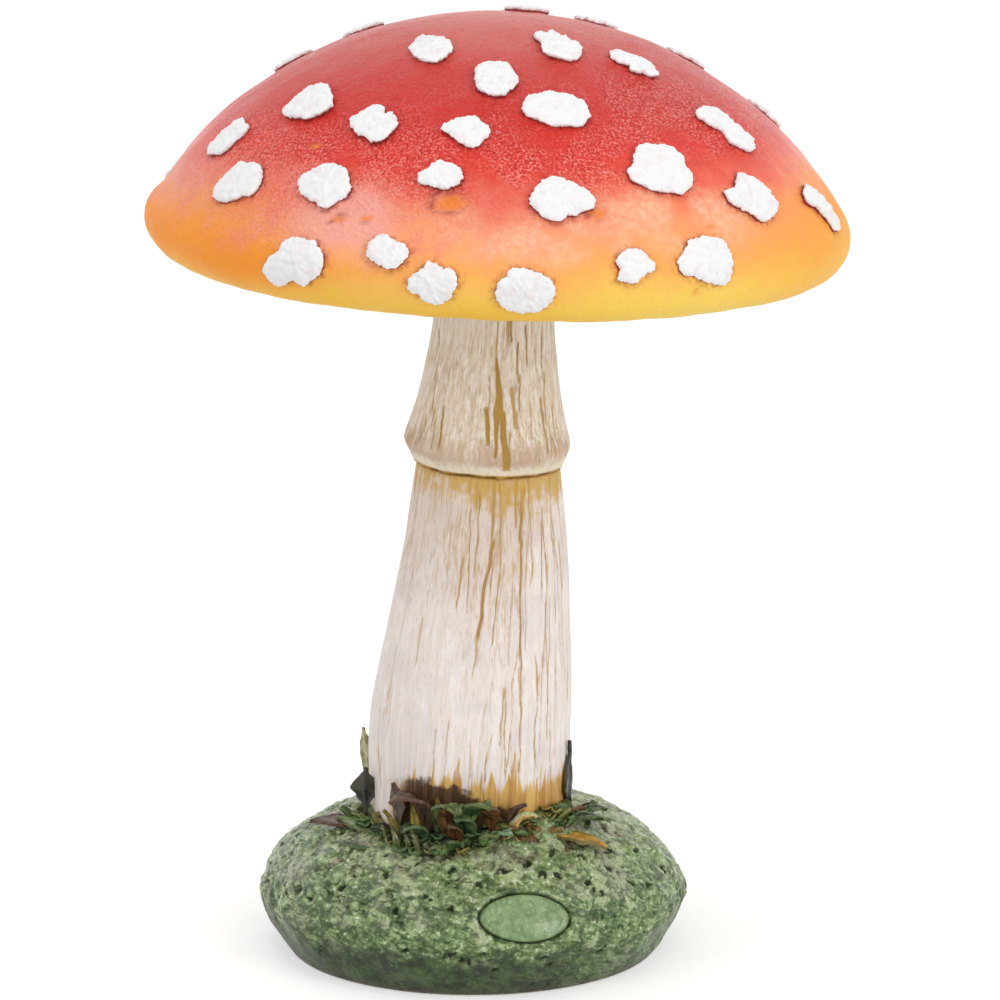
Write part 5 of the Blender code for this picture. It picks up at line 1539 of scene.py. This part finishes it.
def lay_leaf(name, bearing, stand, turn, length, width, rise, curl, widest, paint):
    """Bend a flat grid into a leaf whose root stands in the moss."""
    bpy.ops.object.select_all(action="DESELECT")
    bpy.ops.mesh.primitive_grid_add(x_subdivisions=12, y_subdivisions=40, size=2.0)
    leaf = bpy.context.object
    leaf.name = name
    spine = [Vector((0.0, 0.0))]
    for row in range(SPINE_STEPS):
        angle = math.radians(rise - curl * ((row + 0.5) / SPINE_STEPS) ** 2)
        step = Vector((math.cos(angle), math.sin(angle))) * (length / SPINE_STEPS)
        spine.append(spine[-1] + step)
    power = math.log(0.5) / math.log(widest)
    pointed = 2.2 if paint == "dark" else 1.2
    chance = Vector((bearing / 7, length * 900, width * 700))
    for layer in ("vein", "edge"):
        leaf.data.attributes.new(layer, "FLOAT", "POINT")
    veins, edges = leaf.data.attributes["vein"], leaf.data.attributes["edge"]
    for vertex in leaf.data.vertices:
        side, share = vertex.co.x, (vertex.co.y + 1) / 2
        half = width / 2 * max(0.10, math.sin(math.pi * share ** power) ** pointed)
        half *= 1 + 0.26 * noise.noise(chance + Vector((2 * side, 9 * share, 0.0)))
        rib = math.exp(-(side / 0.13) ** 2)
        ray = max(0.0, math.cos(40 * share - 9 * abs(side))) ** 6
        ripple = noise.noise(chance + Vector((1.2 * side, 4 * share, 3.0)))
        fold = -0.28 * abs(side) if paint == "cream" else 0.06
        lift = fold * width * abs(side) * half / (width / 2) + 0.08 * width * ripple
        lift -= 0.00022 * rib + 0.00010 * ray
        angle = math.radians(rise - curl * share ** 2)
        place = spine[round(SPINE_STEPS * share)]
        vertex.co = Vector((side * half, place.x - lift * math.sin(angle),
                            place.y + lift * math.cos(angle)))
        veins.data[vertex.index].value = max(rib, 0.7 * ray)
        edges.data[vertex.index].value = max(abs(side), 1 - 12 * (1 - share))
    thicken(leaf, SHEET, 0.0)
    bpy.ops.object.shade_smooth_by_angle(angle=math.radians(60))
    tallest = max(0.0, min(1.0, (length + 0.006) / 0.031))
    away = FOOT_RADIUS + 0.0007 * tallest + stand
    x = STEM_AXIS + away * math.cos(math.radians(bearing))
    y = away * math.sin(math.radians(bearing))
    place = Matrix.Translation((x, y, mound_height(x, y) - ROOT_DEPTH))
    settle(leaf, place @ Matrix.Rotation(math.radians(bearing - 90 + turn), 4, "Z"))
    return leaf


leaf_pieces = {name: lay_leaf("painted_" + name, *shape) for name, shape in FOLIAGE.items()}
print(sum(len(leaf.data.polygons) for leaf in leaf_pieces.values()), "faces of foliage")

# %% [markdown]
# All leaves share one way of painting: a base colour that drifts to a second one, veins in a
# third, and an edge in a fourth. Only the four colours change from one finish to the next, so one
# function mixes them. The varnish is thin here, and it gives a small glint on every bend.

# %% Paint the leaves
LEAF_COLOURS = {
    "pale": ((196, 190, 146), (146, 142, 92), (222, 218, 188), (128, 120, 70)),
    "dark": ((44, 44, 36), (72, 68, 56), (28, 28, 24), (70, 66, 54)),
    "brown": ((74, 60, 48), (116, 98, 84), (50, 38, 30), (92, 62, 46)),
    "green": ((66, 92, 48), (140, 170, 106), (42, 60, 32), (98, 110, 60)),
    "deep_green": ((40, 60, 34), (84, 112, 64), (26, 38, 22), (78, 98, 56)),
    "turquoise": ((100, 146, 112), (182, 218, 192), (60, 92, 70), (120, 154, 112)),
    "cream": ((178, 190, 122), (238, 230, 196), (134, 146, 82), (204, 156, 92)),
    "grass": ((104, 108, 66), (196, 194, 160), (72, 80, 44), (106, 106, 62)),
    "ochre": ((182, 136, 50), (212, 172, 84), (120, 90, 36), (120, 108, 50)),
    "rust": ((72, 46, 30), (136, 92, 52), (46, 30, 20), (98, 76, 44)),
    "olive": ((122, 110, 46), (182, 164, 84), (78, 70, 30), (132, 112, 52)),
}


def leaf_paint(name, base, drifting, vein, edge):
    """The paint of one kind of leaf, from its four colours."""
    paint = Finish(name, {"IOR": 1.5, "Specular IOR Level": 0.3, "Coat Weight": 0.25,
                          "Coat Roughness": 0.12})
    where = paint.place()
    drift = paint.grain(where, 0.0030, 3.0)
    fine = paint.grain(where, 0.0007, 3.0, 0.6)
    body = paint.blend(paint.rise(drift + fine * 0.2, 0.50, 0.72), colour(*base), colour(*drifting))
    bordered = paint.blend(paint.rise(paint.attribute("edge") + drift * 0.3, 0.86, 1.12), body,
                           colour(*edge))
    paint.feed("Base Color", paint.blend(paint.rise(paint.attribute("vein"), 0.3, 0.9) * 0.7, bordered,
                                         colour(*vein)))
    paint.feed("Roughness", fine * 0.3 + 0.28)
    paint.relief(fine, 0.00015)
    return paint


paints = {name: leaf_paint(name + "_leaf_paint", *mix) for name, mix in LEAF_COLOURS.items()}
for name, leaf in leaf_pieces.items():
    kind = FOLIAGE[name][-1]
    hand_over(leaf, paints[kind], [name] if name in LEAVES else [])

# %% [markdown]
# Between the leaves the real ornament has a litter of crumbs, torn from the same sheet and thrown
# into wet varnish. One crumb is modelled first, as a small scrap with a bend in both directions.
# A flat square would be enough from far away, but it would vanish when it is seen edge on.

# %% One crumb
CRUMB_SHEET = 0.14

bpy.ops.object.select_all(action="DESELECT")
bpy.ops.mesh.primitive_grid_add(x_subdivisions=3, y_subdivisions=5, size=2.0)
scrap = bpy.context.object
for vertex in scrap.data.vertices:
    side, share = vertex.co.x, (vertex.co.y + 1) / 2
    vertex.co = Vector((0.5 * side * (0.35 + 1.5 * share * (1.15 - share)), share,
                        0.25 * side * side - 0.35 * share * share))
thicken(scrap, CRUMB_SHEET, -1.0)
bpy.ops.object.shade_smooth()
print("crumb of", len(scrap.data.polygons), "faces")

# %% [markdown]
# The crumbs lie in heaps at chosen bearings, thickest behind the leaves in front. Every crumb is a
# copy of the scrap with its own mesh, place, turn and size, and it carries a number for its colour.
# A particle system would scatter them with less code, but its copies have no meshes of their own
# to carry that number.

# %% Scatter the crumbs
CRUMB_DEPTH = 0.0004
# Bearing and spread in degrees, nearest and furthest distance from the stem's axis, number of
# crumbs, darkest and brightest colour number, and growth.
HEAPS = (
    (-108, 17, 0.0260, 0.0305, 170, 0.00, 0.50, 1.2), (-94, 24, 0.0282, 0.0325, 60, 0.10, 0.65, 1.0),
    (-134, 12, 0.0260, 0.0315, 40, 0.15, 0.65, 1.0), (-66, 14, 0.0258, 0.0305, 60, 0.30, 1.00, 0.9),
    (-34, 14, 0.0260, 0.0320, 90, 0.25, 0.70, 1.0), (-162, 14, 0.0260, 0.0310, 34, 0.00, 0.60, 1.0),
)
litter = random.Random(23)
crumbs = []
for middle, spread, inner, outer, count, darkest, brightest, growth in HEAPS:
    for _ in range(count):
        crumb = scrap.copy()
        crumb.data = scrap.data.copy()
        bpy.context.scene.collection.objects.link(crumb)
        bearing = math.radians(litter.gauss(middle, spread / 2))
        away = litter.uniform(inner, outer)
        x, y = away * math.cos(bearing) - SEAT_SHIFT, away * math.sin(bearing)
        length = litter.uniform(0.0018, 0.0042) * growth
        place = Matrix.Translation((x, y, mound_height(x, y) - CRUMB_DEPTH))
        place @= Matrix.Rotation(litter.uniform(0, 2 * math.pi), 4, "Z")
        place @= Matrix.Rotation(math.radians(litter.uniform(-5, 65)), 4, "X")
        width = length * litter.uniform(0.5, 1.1)
        crumb.data.transform(place @ Matrix.Diagonal((width, length, length, 1.0)))
        tint = crumb.data.attributes.new("tint", "FLOAT", "POINT")
        value = litter.uniform(darkest, brightest)
        for index in range(len(crumb.data.vertices)):
            tint.data[index].value = value
        crumbs.append(crumb)
bpy.data.objects.remove(scrap)
litter_piece = joined("leaf_litter", crumbs)
print(len(crumbs), "crumbs")

# %% [markdown]
# The crumbs are as mixed in colour as the leaves that they were torn from: near black, green,
# olive, rust and ochre. A finish for each would be the plain way. Here a ramp turns the number
# that each crumb carries into its colour, so a single paint serves them all.

# %% Paint the crumbs
scraps = Finish("litter_paint", {"IOR": 1.5, "Specular IOR Level": 0.3, "Coat Weight": 0.3,
                                 "Coat Roughness": 0.12})
where = scraps.place()
fine = scraps.grain(where, 0.0008, 3.0, 0.6)
shade = scraps.node("ShaderNodeValToRGB", {"stops": (
    (0.00, colour(34, 38, 24)), (0.25, colour(58, 80, 44)), (0.45, colour(100, 128, 76)),
    (0.62, colour(140, 128, 64)), (0.78, colour(128, 80, 46)), (1.00, colour(198, 160, 98)))},
    {"Fac": scraps.attribute("tint") + fine * 0.2 - 0.1})
scraps.feed("Base Color", shade)
scraps.feed("Roughness", fine * 0.3 + 0.28)
scraps.relief(fine, 0.00015)
hand_over(litter_piece, scraps, [])

# %% [markdown]
# Under the cap a separate plate carries the gills. It is hidden from the front, so the packed
# solid is fine enough and keeps its shape; it only gets a finish. Real gills are cream, with brown
# dust between them, so the paint is streaked from the stalk outwards. The angle round the stalk
# and the radius make that pattern: fine over the angle and long over the radius.

# %% Paint the gills and the dowels
gill_paint = Finish("gill_paint", {"IOR": 1.45})
in_cap = gill_paint.place(*cap_frame)
sideways = gill_paint.height(in_cap, "X")
forwards = gill_paint.height(in_cap, "Y")
radius = (sideways ** 2 + forwards ** 2) ** 0.5
angle = sideways.maths("ARCTAN2", forwards, sideways)
spokes = gill_paint.node("ShaderNodeCombineXYZ", {}, {"X": angle * 0.03, "Y": radius / 12})
streak = gill_paint.grain(spokes, 0.0011, 3.0, 0.6)
dust = gill_paint.grain(in_cap, 0.0035, 4.0, 0.6)
cream = gill_paint.blend(gill_paint.rise(streak, 0.38, 0.62), colour(206, 186, 150),
                         colour(238, 226, 200))
inward = 1 - gill_paint.rise(radius * 1000 + dust * 14, 22, 34)
browned = gill_paint.blend(inward * 0.6, cream, colour(170, 134, 88))
gill_paint.feed("Base Color", gill_paint.blend(gill_paint.rise(dust, 0.55, 0.7) * 0.35, browned,
                                               colour(176, 150, 112)))
gill_paint.feed("Roughness", dust * 0.25 + 0.42)
gill_paint.relief(streak * 0.7 + dust * 0.3, 0.0004)

steel = Finish("drawn_steel", {"Metallic": 1.0})
along = steel.place(*stalk_frame, (1, 1, 40))
drawn = steel.grain(along, 0.0005, 3.0, 0.6)
steel.feed("Base Color", steel.blend(drawn, colour(150, 148, 146), colour(196, 195, 194)))
steel.feed("Roughness", drawn * 0.25 + 0.25)
steel.relief(drawn, 0.00005)

for name, finish in (("gill_plate", gill_paint), ("foot_pin", steel), ("cap_pin", steel)):
    carried = bpy.data.objects[name]
    for slot in carried.material_slots:
        slot.material = finish.material
    print(name, "painted with", finish.material.name)

# %% [markdown]
# Last, the sizes are measured again with all the pieces on.

# %% Measure and finish
low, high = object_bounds()
print("ornament:", [round(1000 * side, 1) for side in high - low], "mm")
